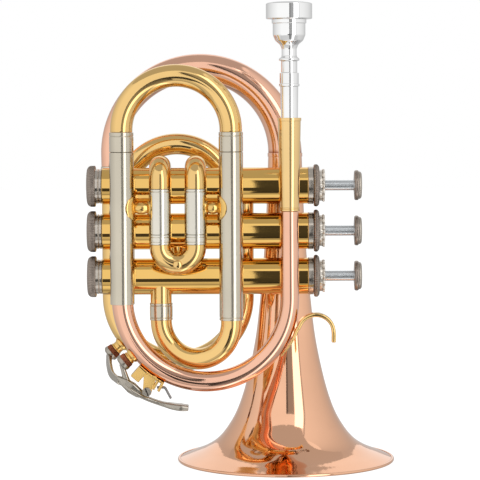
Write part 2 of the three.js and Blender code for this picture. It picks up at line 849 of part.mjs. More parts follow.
const firstSlideHeight = firstSleeveFoot - seam;
for (const [side, sign] of Object.entries(slideSides)) {
  const leg = slideLeg(smallLegDiameter, smallSleeveDiameter, smallFerruleLength, firstLegLength);
  const x = firstSlideX + sign * firstSlideSpacing / 2;
  place(`first_slide_leg_${side}`, leg.rotateX(Math.PI).translate(x, firstSlideY, firstSlideHeight), nickel);
}
const firstCrookMiddle = smallFerruleLength + smallCrookDrop + firstSlideSpacing / 2;
const pullKnob = bar(
  at(0, smallCrookDiameter / 4, firstCrookMiddle),
  at(0, smallCrookDiameter / 2 + pullKnobLength, firstCrookMiddle),
  pullKnobDiameter,
);
const firstCrook = crookOn(firstSlideSpacing, smallCrookDrop, smallCrookDiameter, bendSteps);
place(
  'first_slide_crook',
  join(firstCrook, cut(pullKnob, bar(
    at(-pullKnobDiameter, 0, firstCrookMiddle),
    at(pullKnobDiameter, 0, firstCrookMiddle),
    smallLegBore,
  ))).rotateX(Math.PI).translate(firstSlideX, firstSlideY, firstSlideHeight - seam),
  yellowBrass,
);

// Second valve slide, out of the back of the middle casing
for (const [side, sign] of Object.entries(slideSides)) {
  const x = firstSlideX + sign * firstSlideSpacing / 2;
  const sleeve = turned(sleeveProfile(smallSleeveDiameter / 2, smallSleeveBore / 2, 0, secondSleeveEndDepth))
    .rotateX(-Math.PI / 2)
    .translate(x, 0, secondValveHeight);
  place(`second_slide_sleeve_${side}`, cut(sleeve, casingCutter(secondValveHeight)), nickel);
}
place(
  'second_slide',
  wholeSlide(firstSlideSpacing, smallCrookDrop, secondLegLength, smallCrookDiameter, bendSteps)
    .rotateX(-Math.PI / 2)
    .translate(firstSlideX, secondSleeveEndDepth + seam, secondValveHeight),
  yellowBrass,
);

// Third valve slide: out of the bottom of the lowest casing, up behind the valves, and a large crook
const thirdReturnRadius = thirdSlideDepth / 2;
for (const [side, sign] of Object.entries(slideSides)) {
  const x = thirdSlideX + sign * thirdBowRadius;
  const bend = pipe(
    bentPath(
      [
        at(x, 0, thirdValveHeight),
        at(x, 0, thirdValveHeight - returnRise),
        at(x, thirdSlideDepth, thirdValveHeight - returnRise),
        at(x, thirdSlideDepth, thirdValveHeight),
      ],
      [thirdReturnRadius, thirdReturnRadius],
      bendSteps,
    ),
    returnTubeDiameter,
    ferruleBore,
  );
  const sleeve = turned(sleeveProfile(
    thirdTubeDiameter / 2,
    smallSleeveBore / 2,
    thirdValveHeight,
    thirdSleeveTopHeight,
  )).translate(x, thirdSlideDepth, 0);
  place(`third_slide_tube_${side}`, join(cut(bend, casingCutter(thirdValveHeight)), sleeve), yellowBrass);
}
place(
  'third_slide',
  wholeSlide(
    thirdBowRadius * 2,
    thirdCrookStraight,
    thirdSleeveLength,
    thirdTubeDiameter,
    bowSteps,
  ).translate(thirdSlideX, thirdSlideDepth, thirdSleeveTopHeight + seam),
  yellowBrass,
);

// Ways a port may face
const up = at(0, 0, 1);
const down = at(0, 0, -1);
const back = at(0, 1, 0);
const alongTailOutlet = at(-Math.sin(tailOutletAngle), Math.cos(tailOutletAngle), 0);
const firstSlideLeftX = firstSlideX - firstSlideSpacing / 2;
const firstSlideRightX = firstSlideX + firstSlideSpacing / 2;

// What opens into each casing, and the passages through each piston: the first is the one in use at rest,
// the second comes into use at the end of the stroke
const valves = [
  {
    height: firstValveHeight,
    ports: [
      [tailOutletX, alongTailOutlet],
      [firstSlideLeftX, up],
      [firstSlideRightX, up],
      [upperKnuckleX, down],
    ],
    passages: [[[upperKnuckleX, down], [tailOutletX, alongTailOutlet]]],
  },
  {
    height: secondValveHeight,
    ports: [
      [firstSlideLeftX, back],
      [firstSlideRightX, back],
      [upperKnuckleX, up],
      [lowerKnuckleX, down],
    ],
    passages: [
      [[lowerKnuckleX, down], [upperKnuckleX, up]],
      [[upperKnuckleX, up], [firstSlideRightX, back]],
    ],
  },
  {
    height: thirdValveHeight,
    ports: [
      [thirdSlideX - thirdBowRadius, down],
      [thirdSlideX + thirdBowRadius, down],
      [inletX, down],
      [lowerKnuckleX, up],
    ],
    passages: [
      [[inletX, down], [lowerKnuckleX, up]],
      [[thirdSlideX + thirdBowRadius, down], [lowerKnuckleX, up]],
    ],
  },
];

function portTool(height, [x, way]) {
  const middle = at(x, 0, height);
  return bar(middle, middle.clone().addScaledVector(way, casingRadius + cutOverrun), ferruleBore);
}

function passageTool(height, [startX, startWay], [endX, endWay], shift) {
  const middle = at((startX + endX) / 2 + shift, 0, height);
  const mouth = (x, way) => at(x + shift, 0, height).addScaledVector(way, pistonDiameter / 2);
  const beyond = (point) => point.clone().add(point.clone().sub(middle).setLength(cutOverrun));
  return pipe(
    pathThrough([beyond(mouth(startX, startWay)), middle, beyond(mouth(endX, endWay))]),
    passageDiameter,
    0,
  );
}

function casingGeometry() {
  const ringX = casingHeadX - casingRingLength;
  return turnedAlongX([
    [casingBore / 2, casingFootX],
    [casingDiameter / 2, casingFootX],
    [casingDiameter / 2, ringX],
    [casingRingDiameter / 2, ringX],
    [casingRingDiameter / 2, casingHeadX],
    [casingBore / 2, casingHeadX],
    [casingBore / 2, casingFootX],
  ]);
}

// Bottom cap: a spigot in the casing, a plain neck and a knurled grip with a vent through its floor
function bottomCapGeometry() {
  const neckEndX = bottomCapX - bottomCapNeckLength;
  const profile = [
    [capRecessDiameter / 2, bottomCapX + capSpigotLength],
    [pistonDiameter / 2, bottomCapX + capSpigotLength],
    [pistonDiameter / 2, bottomCapX],
    [bottomCapNeckDiameter / 2, bottomCapX],
    [bottomCapNeckDiameter / 2, neckEndX],
    [bottomCapDiameter / 2, neckEndX],
    [bottomCapDiameter / 2, bottomCapEndX + bottomCapChamfer],
    [bottomCapDiameter / 2 - bottomCapChamfer, bottomCapEndX],
    [bottomCapVentDiameter / 2, bottomCapEndX],
    [bottomCapVentDiameter / 2, bottomCapEndX + bottomCapFloor],
    [capRecessDiameter / 2, bottomCapEndX + bottomCapFloor],
  ];
  return turnedAlongX([...profile, profile[0]]);
}

// Top cap: a spigot in the casing, a knurled flange, a hub and a lip, with a hole for the stem
function topCapGeometry() {
  const endX = topCapX + topCapLength;
  const stemHoleRadius = stemDiameter / 2 + slideClearance;
  const profile = [
    [capRecessDiameter / 2, topCapX - capSpigotLength],
    [pistonDiameter / 2, topCapX - capSpigotLength],
    [pistonDiameter / 2, topCapX],
    [topCapFlangeDiameter / 2, topCapX],
    [topCapFlangeDiameter / 2, topCapX + topCapFlangeLength],
    [topCapHubDiameter / 2, topCapX + topCapFlangeLength],
    [topCapHubDiameter / 2, endX - topCapLipLength],
    [topCapLipDiameter / 2, endX - topCapLipLength],
    [topCapLipDiameter / 2, endX],
    [stemHoleRadius, endX],
    [stemHoleRadius, endX - topCapRoof],
    [capRecessDiameter / 2, endX - topCapRoof],
  ];
  return turnedAlongX([...profile, profile[0]]);
}

// Piston: a recess for its spring in the foot, a tapped hole for its stem in the head, and its passages
function pistonGeometry(height, passages) {
  const holeRadius = stemThreadDiameter / 2 + seam;
  const holeX = pistonHeadX - stemThreadLength;
  const body = turnedAlongX([
    [0, pistonFootX + springRecessDepth],
    [springRecessDiameter / 2, pistonFootX + springRecessDepth],
    [springRecessDiameter / 2, pistonFootX],
    [pistonDiameter / 2, pistonFootX],
    [pistonDiameter / 2, pistonHeadX],
    [holeRadius, pistonHeadX],
    [holeRadius, holeX],
    [0, holeX],
  ]).translate(0, 0, height);
  return cut(body, ...passages.map(([from, to], i) => passageTool(height, from, to, valveStroke * i)));
}

// Stem and finger button in one, screwed into the head of the piston
function stemGeometry() {
  const flangeEndX = buttonX + buttonFlangeLength;
  return turnedAlongX([
    [0, pistonHeadX + seam - stemThreadLength],
    [stemThreadDiameter / 2, pistonHeadX + seam - stemThreadLength],
    [stemThreadDiameter / 2, pistonHeadX + seam],
    [stemDiameter / 2, pistonHeadX + seam],
    [stemDiameter / 2, buttonX],
    [buttonFlangeDiameter / 2, buttonX],
    [buttonFlangeDiameter / 2, flangeEndX],
    [buttonTopDiameter / 2, flangeEndX],
    [buttonTopDiameter / 2, flangeEndX + buttonTopLength],
    [0, flangeEndX + buttonTopLength],
  ]);
}

// Return spring, from the floor of the bottom cap to the bottom of the recess in the piston
function springGeometry() {
  const startX = bottomCapEndX + bottomCapFloor + seam + springWireDiameter / 2;
  const endX = pistonFootX + springRecessDepth - seam - springWireDiameter / 2;
  const radius = (springDiameter - springWireDiameter) / 2;
  const steps = springTurns * springStepsPerTurn;
  const points = Array.from({ length: steps + 1 }, (_, i) => {
    const angle = Math.PI * 2 * i / springStepsPerTurn;
    return at(startX + (endX - startX) * i / steps, radius * Math.cos(angle), radius * Math.sin(angle));
  });
  return pipe(pathThrough(points), springWireDiameter, 0, springWireDiameter, wireSides);
}

valves.forEach(({ height, ports, passages }, i) => {
  const number = i + 1;
  const tools = ports.map((port) => portTool(height, port));
  place(`valve_casing_${number}`, cut(casingGeometry().translate(0, 0, height), ...tools), yellowBrass);
  place(`bottom_cap_${number}`, bottomCapGeometry().translate(0, 0, height), darkNickel);
  place(`top_cap_${number}`, topCapGeometry().translate(0, 0, height), darkNickel);
  place(`piston_${number}`, pistonGeometry(height, passages), nickel);
  place(`piston_stem_${number}`, stemGeometry().translate(0, 0, height), darkNickel);
  place(`piston_spring_${number}`, springGeometry().translate(0, 0, height), springSteel);
});

// Knuckles between neighbouring casings
const knuckles = [
  ['knuckle_1_2', upperKnuckleX, firstValveHeight, secondValveHeight],
  ['knuckle_2_3', lowerKnuckleX, secondValveHeight, thirdValveHeight],
];
for (const [name, x, topHeight, footHeight] of knuckles) {
  const tube = turned(sleeveProfile(knuckleDiameter / 2, ferruleBore / 2, footHeight, topHeight));
  place(name, cut(tube.translate(x, 0, 0), casingCutter(topHeight), casingCutter(footHeight)), yellowBrass);
}

// A thin plate bent round an upright tube, on the side the sign gives
function wrapPlate(tubeDiameter, plateDiameter, sign) {
  const innerRadius = tubeDiameter / 2 + seam;
  const outerRadius = innerRadius + braceFlangeThickness;
  const blank = bar(at(0, 0, 0), at(sign * outerRadius * 2, 0, 0), plateDiameter);
  const solidTube = [
    [0, -plateDiameter],
    [innerRadius, -plateDiameter],
    [innerRadius, plateDiameter],
    [0, plateDiameter],
  ];
  const around = sleeveProfile(outerRadius * 2 + cutOverrun, outerRadius, -plateDiameter, plateDiameter);
  return cut(blank, turned(solidTube), turned(around));
}

// Braces between the main slide sleeves and the sleeves of the first valve slide
for (const [side, sign] of Object.entries(slideSides)) {
  const outerX = tuningSides[side][0];
  const innerX = firstSlideX + sign * firstSlideSpacing / 2;
  const outerReach = tuningSleeveDiameter / 2 + seam + braceFlangeThickness / 2;
  const innerReach = smallSleeveDiameter / 2 + seam + braceFlangeThickness / 2;
  const rod = bar(
    at(outerX - sign * outerReach, frontY, frontBraceHeight),
    at(innerX + sign * innerReach, frontY, frontBraceHeight),
    braceRodDiameter,
  );
  place(`front_brace_${side}`, join(
    rod,
    wrapPlate(tuningSleeveDiameter, braceFlangeDiameter, -sign)
      .translate(outerX, frontY, frontBraceHeight),
    wrapPlate(smallSleeveDiameter, smallBraceFlangeDiameter, sign)
      .translate(innerX, firstSlideY, frontBraceHeight),
  ), yellowBrass);
}

// Brace from the middle casing back to the bell
const bellCutter = turned([
  [0, bellLength],
  ...bellOutside.map((point) => [point.x + seam, point.y]),
  [0, 0],
], bellSides).translate(0, bellDepth, 0);
place('bell_brace', cut(
  bar(at(bellBraceX, 0, secondValveHeight), at(bellBraceX, bellDepth, secondValveHeight), braceRodDiameter),
  casingCutter(secondValveHeight),
  bellCutter,
), yellowBrass);

// Brace from the first casing forward to the receiver
const receiverCutter = turned([
  [0, receiverFootHeight],
  [receiverFootDiameter / 2 + seam, receiverFootHeight],
  [receiverTopDiameter / 2 + seam, receiverFootHeight + receiverLength],
  [0, receiverFootHeight + receiverLength],
]).translate(leadpipeX, frontY, 0);
place('receiver_brace', cut(
  bar(at(leadpipeX, 0, firstValveHeight), at(leadpipeX, frontY, firstValveHeight), receiverBraceDiameter),
  casingCutter(firstValveHeight),
  receiverCutter,
), yellowBrass);

// The two bows that carry soldered pieces
const leadpipeBow = {
  x: leadpipeX - leadpipeBowRadius,
  height: leadpipeBowHeight,
  radius: leadpipeBowRadius + leadpipeWideDiameter / 2 + seam,
  y: frontY,
  cutter: pipe(leadpipePath, leadpipeNarrowDiameter + seam * 2, 0, leadpipeWideDiameter + seam * 2),
};
const tailBow = {
  x: tailX + tailBowRadius,
  height: tailBowHeight,
  radius: tailBowRadius + tailTubeDiameter / 2 + seam,
  y: bellDepth,
  cutter: pipe(tailPath, tailTubeDiameter + seam * 2, 0),
};
const onBow = (bow, turns, reach) => onCircle(bow.x, bow.height, bow.radius + reach, turns, bow.y);

// A strip soldered along the outside of a bow. Its curve starts with the foot and may go on from there.
function footPoints(bow, startTurns, endTurns, steps, thickness) {
  return Array.from({ length: steps + 1 }, (_, i) => onBow(
    bow,
    startTurns + (endTurns - startTurns) * i / steps,
    thickness / 2 - solderDepth,
  ));
}

const hookCentreX = leadpipeX + hookSetOff;
const hookCentreHeight = leadpipeBowHeight - hookDrop;
const hookCurve = new THREE.CatmullRomCurve3([
  ...footPoints(leadpipeBow, hookFootStartTurns, hookFootEndTurns, hookFootSteps, hookThickness),
  ...Array.from({ length: hookArcSteps + 1 }, (_, i) => onCircle(
    hookCentreX,
    hookCentreHeight,
    hookRadius,
    hookArcStartTurns * (1 - i / hookArcSteps),
  )),
  at(hookCentreX + hookRadius, frontY, hookCentreHeight - hookTipDrop),
]);
place('pinky_hook', cut(
  strip(hookCurve, hookWidth, hookThickness, hookSteps),
  leadpipeBow.cutter,
), yellowBrass);

// Water key: a nipple, a cork and a cup on each bow
const keyPlaces = {
  front: { bow: leadpipeBow, turns: frontNippleTurns, reach: frontNippleReach },
  rear: { bow: tailBow, turns: rearNippleTurns, reach: rearNippleReach },
};
const keyCups = [];
for (const [side, { bow, turns, reach }] of Object.entries(keyPlaces)) {
  const outer = bar(onBow(bow, turns, -nippleDiameter / 2), onBow(bow, turns, reach), nippleDiameter);
  const drill = bar(onBow(bow, turns, -nippleDiameter), onBow(bow, turns, reach + cutOverrun), nippleBore);
  place(`water_key_nipple_${side}`, cut(outer, drill, bow.cutter), yellowBrass);
  const corkReach = reach + seam;
  const cupReach = corkReach + corkThickness + seam;
  place(`water_key_cork_${side}`, bar(
    onBow(bow, turns, corkReach),
    onBow(bow, turns, corkReach + corkThickness),
    corkDiameter,
  ), cork);
  keyCups.push({
    blank: bar(onBow(bow, turns, cupReach), onBow(bow, turns, cupReach + keyCupThickness), keyCupDiameter),
    middle: onBow(bow, turns, cupReach + keyCupThickness / 2),
    hollow: bar(onBow(bow, turns, 0), onBow(bow, turns, cupReach), keyCupDiameter),
  });
}

// Lever: an arched strip with a thumb pad, a hub on its pivot, and an arm to each cup
const pivot = onBow(leadpipeBow, pivotTurns, pivotReach);
const alongPivot = (distance) => pivot.clone().add(at(0, distance, 0));
const leverCentre = at(leadpipeBow.x - leverArcShift, frontY, leadpipeBow.height + leverArcRise);
const leverRadius = leadpipeBow.radius + leverReach;
const onLever = (turns, reach) => onCircle(leverCentre.x, leverCentre.z, leverRadius + reach, turns);
const leverCurve = new THREE.CatmullRomCurve3(Array.from({ length: leverSteps + 1 }, (_, i) => (
  onLever(leverStartTurns + (leverEndTurns - leverStartTurns) * i / leverSteps, 0)
)));
const aboveHub = leverCentre.clone().add(pivot.clone().sub(leverCentre).setLength(leverRadius));
const [frontCup, rearCup] = keyCups;
const rearArmStart = onLever(leverStartTurns, 0);
const rearArm = new THREE.CatmullRomCurve3([
  rearArmStart,
  ...rearArmShares.map((share, i) => {
    const [outset, drop] = rearArmOutsets[i];
    return rearArmStart.clone().lerp(rearCup.middle, share).sub(at(outset, 0, drop));
  }),
  rearCup.middle,
]);
place('water_key_lever', cut(
  join(
    strip(leverCurve, leverWidth, leverThickness, leverSteps),
    bar(
      onLever(leverEndTurns, -leverThickness / 2),
      onLever(leverEndTurns, leverThickness / 2),
      thumbPadDiameter,
    ),
    bar(alongPivot(-hubLength / 2), alongPivot(hubLength / 2), hubDiameter),
    strip(new THREE.LineCurve3(pivot, aboveHub), hubLength, leverArmDiameter, 1),
    frontCup.blank,
    bar(onLever(leverArmTurns, 0), frontCup.middle, leverArmDiameter),
    rearCup.blank,
    pipe(pathThrough(rearArm.getPoints(rearArmSteps)), leverArmDiameter, 0),
  ),
  frontCup.hollow,
  rearCup.hollow,
  bar(alongPivot(-hubLength), alongPivot(hubLength), pivotPinDiameter + slideClearance * 2),
), nickel);

// Saddle: a foot round the bow, two lugs for the pivot, a post on each side of them and the key's spring
const lugReach = hubLength / 2 + seam + lugThickness / 2;
const saddleWidth = (lugReach + lugThickness / 2) * 2;
const saddleMiddleTurns = (saddleStartTurns + saddleEndTurns) / 2;
const saddleCurve = new THREE.CatmullRomCurve3(
  footPoints(leadpipeBow, saddleStartTurns, saddleEndTurns, saddleSteps, saddleThickness),
);
function lug(sign) {
  const foot = onBow(leadpipeBow, saddleMiddleTurns, 0);
  const offset = at(0, sign * lugReach, 0);
  const web = new THREE.LineCurve3(foot.add(offset), pivot.clone().add(offset));
  const eye = bar(
    alongPivot(sign * lugReach - lugThickness / 2),
    alongPivot(sign * lugReach + lugThickness / 2),
    lugWidth,
  );
  return join(strip(web, lugThickness, lugWidth, 1), eye);
}
function saddlePost(turns, reach, width) {
  const foot = onBow(leadpipeBow, turns, -solderDepth);
  return strip(new THREE.LineCurve3(foot, onBow(leadpipeBow, turns, reach)), saddleWidth, width, 1);
}
const springFoot = onBow(leadpipeBow, saddleEndTurns, springPostReach - keySpringDiameter);
const springKnee = springFoot.clone().add(at(keySpringRun, 0, 0));
const springTip = springKnee.clone().add(at(keySpringDropX, 0, -keySpringDrop));
place('water_key_saddle', cut(
  join(
    strip(saddleCurve, saddleWidth, saddleThickness, saddleSteps),
    lug(-1),
    lug(1),
    saddlePost(saddleStartTurns, saddlePostReach, saddlePostWidth),
    saddlePost(saddleEndTurns, springPostReach, springPostWidth),
    pipe(pathThrough([springFoot, springKnee, springTip]), keySpringDiameter, 0),
  ),
  leadpipeBow.cutter,
  bar(alongPivot(-saddleWidth), alongPivot(saddleWidth), pivotPinDiameter + seam * 2),
), yellowBrass);

// Pivot screw through both lugs and the hub
const pinReach = saddleWidth / 2;
const headInside = alongPivot(-pinReach - seam);
const headOutside = alongPivot(-pinReach - seam - pivotHeadLength);
const screwHead = bar(headOutside, headInside, pivotHeadDiameter);
const screwPin = bar(headInside.clone().lerp(headOutside, 0.5), alongPivot(pinReach), pivotPinDiameter);
place('water_key_pivot', join(screwHead, screwPin), nickel);

export default trumpet;
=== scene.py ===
from math import cos, dist, hypot, pi, radians, sin, sqrt, tan, tau

import bmesh
import bpy
from mathutils import Euler, Matrix, Vector


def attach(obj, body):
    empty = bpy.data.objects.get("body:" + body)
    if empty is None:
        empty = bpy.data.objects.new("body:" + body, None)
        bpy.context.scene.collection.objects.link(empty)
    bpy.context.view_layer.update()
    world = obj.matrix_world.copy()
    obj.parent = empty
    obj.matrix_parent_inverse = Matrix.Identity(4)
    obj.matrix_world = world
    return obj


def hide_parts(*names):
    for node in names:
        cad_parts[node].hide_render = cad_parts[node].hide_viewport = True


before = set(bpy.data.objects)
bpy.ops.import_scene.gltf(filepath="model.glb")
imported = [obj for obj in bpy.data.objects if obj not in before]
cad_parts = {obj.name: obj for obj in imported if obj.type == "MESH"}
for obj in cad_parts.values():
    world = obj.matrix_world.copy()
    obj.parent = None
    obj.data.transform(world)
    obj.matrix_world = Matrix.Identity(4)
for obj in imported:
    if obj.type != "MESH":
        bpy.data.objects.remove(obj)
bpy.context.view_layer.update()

# Pocket trumpet. Sizes are in millimetres, and depths of surface relief in micrometres. X runs along the
# valves from the bell axis, Y runs back from the plane of the valves, Z runs up from the bell rim.
MM = 0.001
MICRON = 0.000001
SHIFT_X = 24.35
SHIFT_Y = -27.0005

# Fineness of the surfaces, in counts
TUBE_SIDES = 56
BEND_STEPS = 28
TURNED_SIDES = 96
SMALL_SIDES = 48
STEM_SIDES = 64
BELL_SIDES = 160
FLARE_STEPS = 10
CORNER_STEPS = 3
SLAB_CORNER_STEPS = 4

# Edges and gaps
SEAM = 0.3
SOFT_EDGE = 0.22
TUBE_EDGE = SOFT_EDGE * 0.7
SHARP_ANGLE = 38
SAME_PLACE, SAME_CORNER, SAME_POINT = 1e-3, 1e-6, 1e-8
ON_AXIS = 0.05
SIDEWAYS = 0.7
CORNER_SHARE, SLAB_CORNER_SHARE = 0.45, 0.9

# How near the axis of a valve the outside and the bore of a tube come that is fitted to its side
FITTED_OUTSIDE, FITTED_BORE = 9.95, 9.4

# Thin turned groove: half its width at the top and at the floor, and its depth
GROOVE_HALF_TOP, GROOVE_HALF_FLOOR, GROOVE_DEPTH = 0.28, 0.1, 0.22


def to_frame(point):
    """A point of the trumpet, in metres in the frame."""
    return Vector((point[0] + SHIFT_X, point[1] + SHIFT_Y, point[2])) * MM


def added(name, data):
    """A new object in the scene."""
    made = bpy.data.objects.new(name, data)
    bpy.context.scene.collection.objects.link(made)
    return made


class Shape:
    """Points and faces that grow into one piece. Its sheet coordinate is a share round and mm along."""

    def __init__(self):
        self.points = []
        self.faces = []
        self.sheet = []

    def rings(self, rings, loop=False, capped=False):
        """Joins neighbouring rings of equal count with faces. A loop joins the last ring to the first."""
        base = len(self.points)
        count = len(rings[0])
        for ring in rings:
            self.points.extend(Vector(point) for point in ring)
        run = 0
        for i in range(len(rings) if loop else len(rings) - 1):
            j = (i + 1) % len(rings)
            step = (Vector(rings[j][0]) - Vector(rings[i][0])).length
            here, there = base + i * count, base + j * count
            for k in range(count):
                m = (k + 1) % count
                self.faces.append((here + k, here + m, there + m, there + k))
                left, right = k / count, (k + 1) / count
                self.sheet.append(((left, run), (right, run), (right, run + step), (left, run + step)))
            run += step
        if capped:
            for first in (base, base + (len(rings) - 1) * count):
                self.faces.append(tuple(range(first, first + count)))
                self.sheet.append(tuple((k / count, 0) for k in range(count)))
        return self

    def piece(self, name, material, stands_for=None, body="frame_body", sharp=SHARP_ANGLE):
        """Makes the object, which stands for the node it is named after, or for the one given. Its edges are
        sharp where faces meet at more than the angle."""
        mesh = bpy.data.meshes.new(name)
        mesh.from_pydata([to_frame(point) for point in self.points], [], self.faces)
        sheet = mesh.uv_layers.new(name="sheet")
        places = [place for face in self.sheet for place in face]
        for spot, place in zip(sheet.data, places):
            spot.uv = place
        work = bmesh.new()
        work.from_mesh(mesh)
        bmesh.ops.remove_doubles(work, verts=work.verts, dist=SAME_POINT)
        bmesh.ops.recalc_face_normals(work, faces=work.faces)
        for face in work.faces:
            face.smooth = True
        for edge in work.edges:
            edge.smooth = not (edge.is_manifold and edge.calc_face_angle(0) > radians(sharp))
        work.to_mesh(mesh)
        work.free()
        mesh.materials.append(material)
        made = added(name, mesh)
        weighted = made.modifiers.new("weighted_normals", "WEIGHTED_NORMAL")
        weighted.keep_sharp = True
        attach(made, body)
        node = stands_for or name.removesuffix("_fine")
        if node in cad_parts:
            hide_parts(node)


def square_to(direction, side):
    """The part of a side that is at right angles to the direction."""
    return (side - direction * side.dot(direction)).normalized()


def axes_along(direction):
    """The direction, and two more at right angles to it."""
    direction = Vector(direction).normalized()
    side = Vector((0, 1, 0)) if abs(direction.y) < SIDEWAYS else Vector((1, 0, 0))
    across = square_to(direction, side)
    return direction, across, direction.cross(across)


def bent_path(corners, radii, steps=BEND_STEPS):
    """(point, direction) stations along straight runs joined by round bends."""
    corners = [Vector(corner) for corner in corners]
    stations = [(corners[0], (corners[1] - corners[0]).normalized())]
    for before, corner, after, radius in zip(corners, corners[1:], corners[2:], radii):
        arriving = (corner - before).normalized()
        leaving = (after - corner).normalized()
        turn = arriving.angle(leaving)
        start = corner - arriving * radius * tan(turn / 2)
        inward = square_to(arriving, leaving)
        centre = start + inward * radius
        for step in range(steps + 1):
            angle = turn * step / steps
            stations.append((
                centre - inward * radius * cos(angle) + arriving * radius * sin(angle),
                arriving * cos(angle) + inward * sin(angle),
            ))
    stations.append((corners[-1], (corners[-1] - corners[-2]).normalized()))
    kept = [stations[0]]
    for station in stations[1:]:
        if (station[0] - kept[-1][0]).length > SAME_PLACE:
            kept.append(station)
    return kept


def bow_path(start, end, turn, along=2):
    """A path along an axis from the start, round in a half circle at the turn, and back to the end."""
    out, back = list(start), list(end)
    out[along] = back[along] = turn
    radius = dist(out, back) / 2
    return bent_path([start, out, back, end], [radius, radius])


def spline_point(before, start, end, after, share):
    """A point between start and end on the uniform spline through all four."""
    return (
        start * 2
        + (end - before) * share
        + (before * 2 - start * 5 + end * 4 - after) * share ** 2
        + (start * 3 - before - end * 3 + after) * share ** 3
    ) / 2


def spline(ends, steps):
    """Points on the spline from the second to the last but one of its ends, short of the latter."""
    return [
        spline_point(*ends[i - 1:i + 3], step / steps)
        for i in range(1, len(ends) - 2)
        for step in range(steps)
    ]


def facing(places):
    """Stations at the places, each facing half way between its neighbours."""
    last = len(places) - 1
    return [
        (place, (places[min(i + 1, last)] - places[max(i - 1, 0)]).normalized())
        for i, place in enumerate(places)
    ]


def smooth_path(points, steps):
    """Stations on a smooth curve through the points."""
    points = [Vector(point) for point in points]
    ends = [points[0] * 2 - points[1], *points, points[-1] * 2 - points[-2]]
    return facing([*spline(ends, steps), points[-1]])


def straight(start, end):
    start, end = Vector(start), Vector(end)
    direction = (end - start).normalized()
    return [(start, direction), (end, direction)]


def with_ends(stations, inset):
    """The same stations with one more close to each end, for a softened edge."""
    (first, out), (last, away) = stations[0], stations[-1]
    near, far = (first + out * inset, out), (last - away * inset, away)
    return [stations[0], near, *stations[1:-1], far, stations[-1]]


def lengths_along(stations):
    lengths = [0]
    for (before, _), (after, _) in zip(stations, stations[1:]):
        lengths.append(lengths[-1] + (after - before).length)
    return lengths


def frames_along(stations):
    """(point, direction, across, up) with no twist from one station to the next."""
    across = axes_along(stations[0][1])[1]
    result = []
    for point, direction in stations:
        across = square_to(direction, across)
        result.append((point, direction, across, direction.cross(across)))
    return result


def circle(point, across, up, radius):
    turns = [tau * k / TUBE_SIDES for k in range(TUBE_SIDES)]
    return [point + across * radius * cos(turn) + up * radius * sin(turn) for turn in turns]


def trimmed(rings, height, radius):
    """Starts every line of points that begins inside a valve where it leaves the valve's side."""
    rings = [list(ring) for ring in rings]
    for k in range(len(rings[0])):
        outside = [hypot(ring[k].y, ring[k].z - height) >= radius for ring in rings]
        first = outside.index(True)
        if first == 0:
            continue
        begin = rings[first - 1][k]
        step = rings[first][k] - begin
        y, z = begin.y, begin.z - height
        a = step.y ** 2 + step.z ** 2
        b = y * step.y + z * step.z
        c = y ** 2 + z ** 2 - radius ** 2
        place = begin + step * ((sqrt(b * b - a * c) - b) / a)
        for ring in rings[:first]:
            ring[k] = place
    return rings


def tube(shape, stations, start_diameter, bore, end_diameter=None, start_valve=None, end_valve=None):
    """A hollow tube. An end named for a valve height is fitted to the side of that valve."""
    end_diameter = end_diameter or start_diameter
    whole = lengths_along(stations)[-1]
    stations = with_ends(stations, SOFT_EDGE)
    lengths = lengths_along(stations)
    outer, inner = [], []
    last = len(stations) - 1
    for i, (point, direction, across, up) in enumerate(frames_along(stations)):
        radius = (start_diameter + (end_diameter - start_diameter) * lengths[i] / whole) / 2
        free_end = (i == 0 and start_valve is None) or (i == last and end_valve is None)
        outer.append(circle(point, across, up, radius - (TUBE_EDGE if free_end else 0)))
        inner.append(circle(point, across, up, bore / 2 * radius / (start_diameter / 2)))
    if start_valve is not None:
        outer = trimmed(outer, start_valve, FITTED_OUTSIDE)
        inner = trimmed(inner, start_valve, FITTED_BORE)
    if end_valve is not None:
        outer = trimmed(outer[::-1], end_valve, FITTED_OUTSIDE)[::-1]
        inner = trimmed(inner[::-1], end_valve, FITTED_BORE)[::-1]
    return shape.rings(outer + inner[::-1], loop=True)


def is_closed(outline):
    """An outline that starts on the axis is open, and any other goes round a hollow."""
    return outline[0][0] > ON_AXIS


def softened(outline, radius):
    """The outline with each corner rounded, by at most the radius."""
    result = []
    closed = is_closed(outline)
    count = len(outline)
    for i, corner in enumerate(outline):
        if not closed and i in (0, count - 1):
            result.append(corner)
            continue
        here = Vector(corner)
        back, on = Vector(outline[i - 1]) - here, Vector(outline[(i + 1) % count]) - here
        if min(back.length, on.length) < SAME_CORNER:
            continue
        reach = min(radius, back.length * CORNER_SHARE, on.length * CORNER_SHARE)
        start, end = here + back.normalized() * reach, here + on.normalized() * reach
        for step in range(CORNER_STEPS + 1):
            share = step / CORNER_STEPS
            result.append(tuple(start * (1 - share) ** 2 + here * 2 * share * (1 - share) + end * share ** 2))
    return result


def arc(centre, reach, angles, rise=None):
    """Points round a centre, by degrees. The rise is the reach along the axis, if it differs."""
    rise = reach if rise is None else rise
    return [
        (centre[0] + reach * cos(radians(angle)), centre[1] + rise * sin(radians(angle)))
        for angle in angles
    ]


def sleeve(outer, bore, foot, head, grooves=(), soft=0.3):
    """Outline of a straight tube with thin turned grooves round it."""
    outside = [(outer, foot)]
    for place in grooves:
        floor = outer - GROOVE_DEPTH
        outside += [(outer, place - GROOVE_HALF_TOP), (floor, place - GROOVE_HALF_FLOOR)]
        outside += [(floor, place + GROOVE_HALF_FLOOR), (outer, place + GROOVE_HALF_TOP)]
    outside.append((outer, head))
    return softened([(bore, foot), *outside, (bore, head)], soft)


def ring_outline(inner, outer, foot, head, soft):
    """Outline of a plain ring or straight tube."""
    return softened([(inner, foot), (outer, foot), (outer, head), (inner, head)], soft)


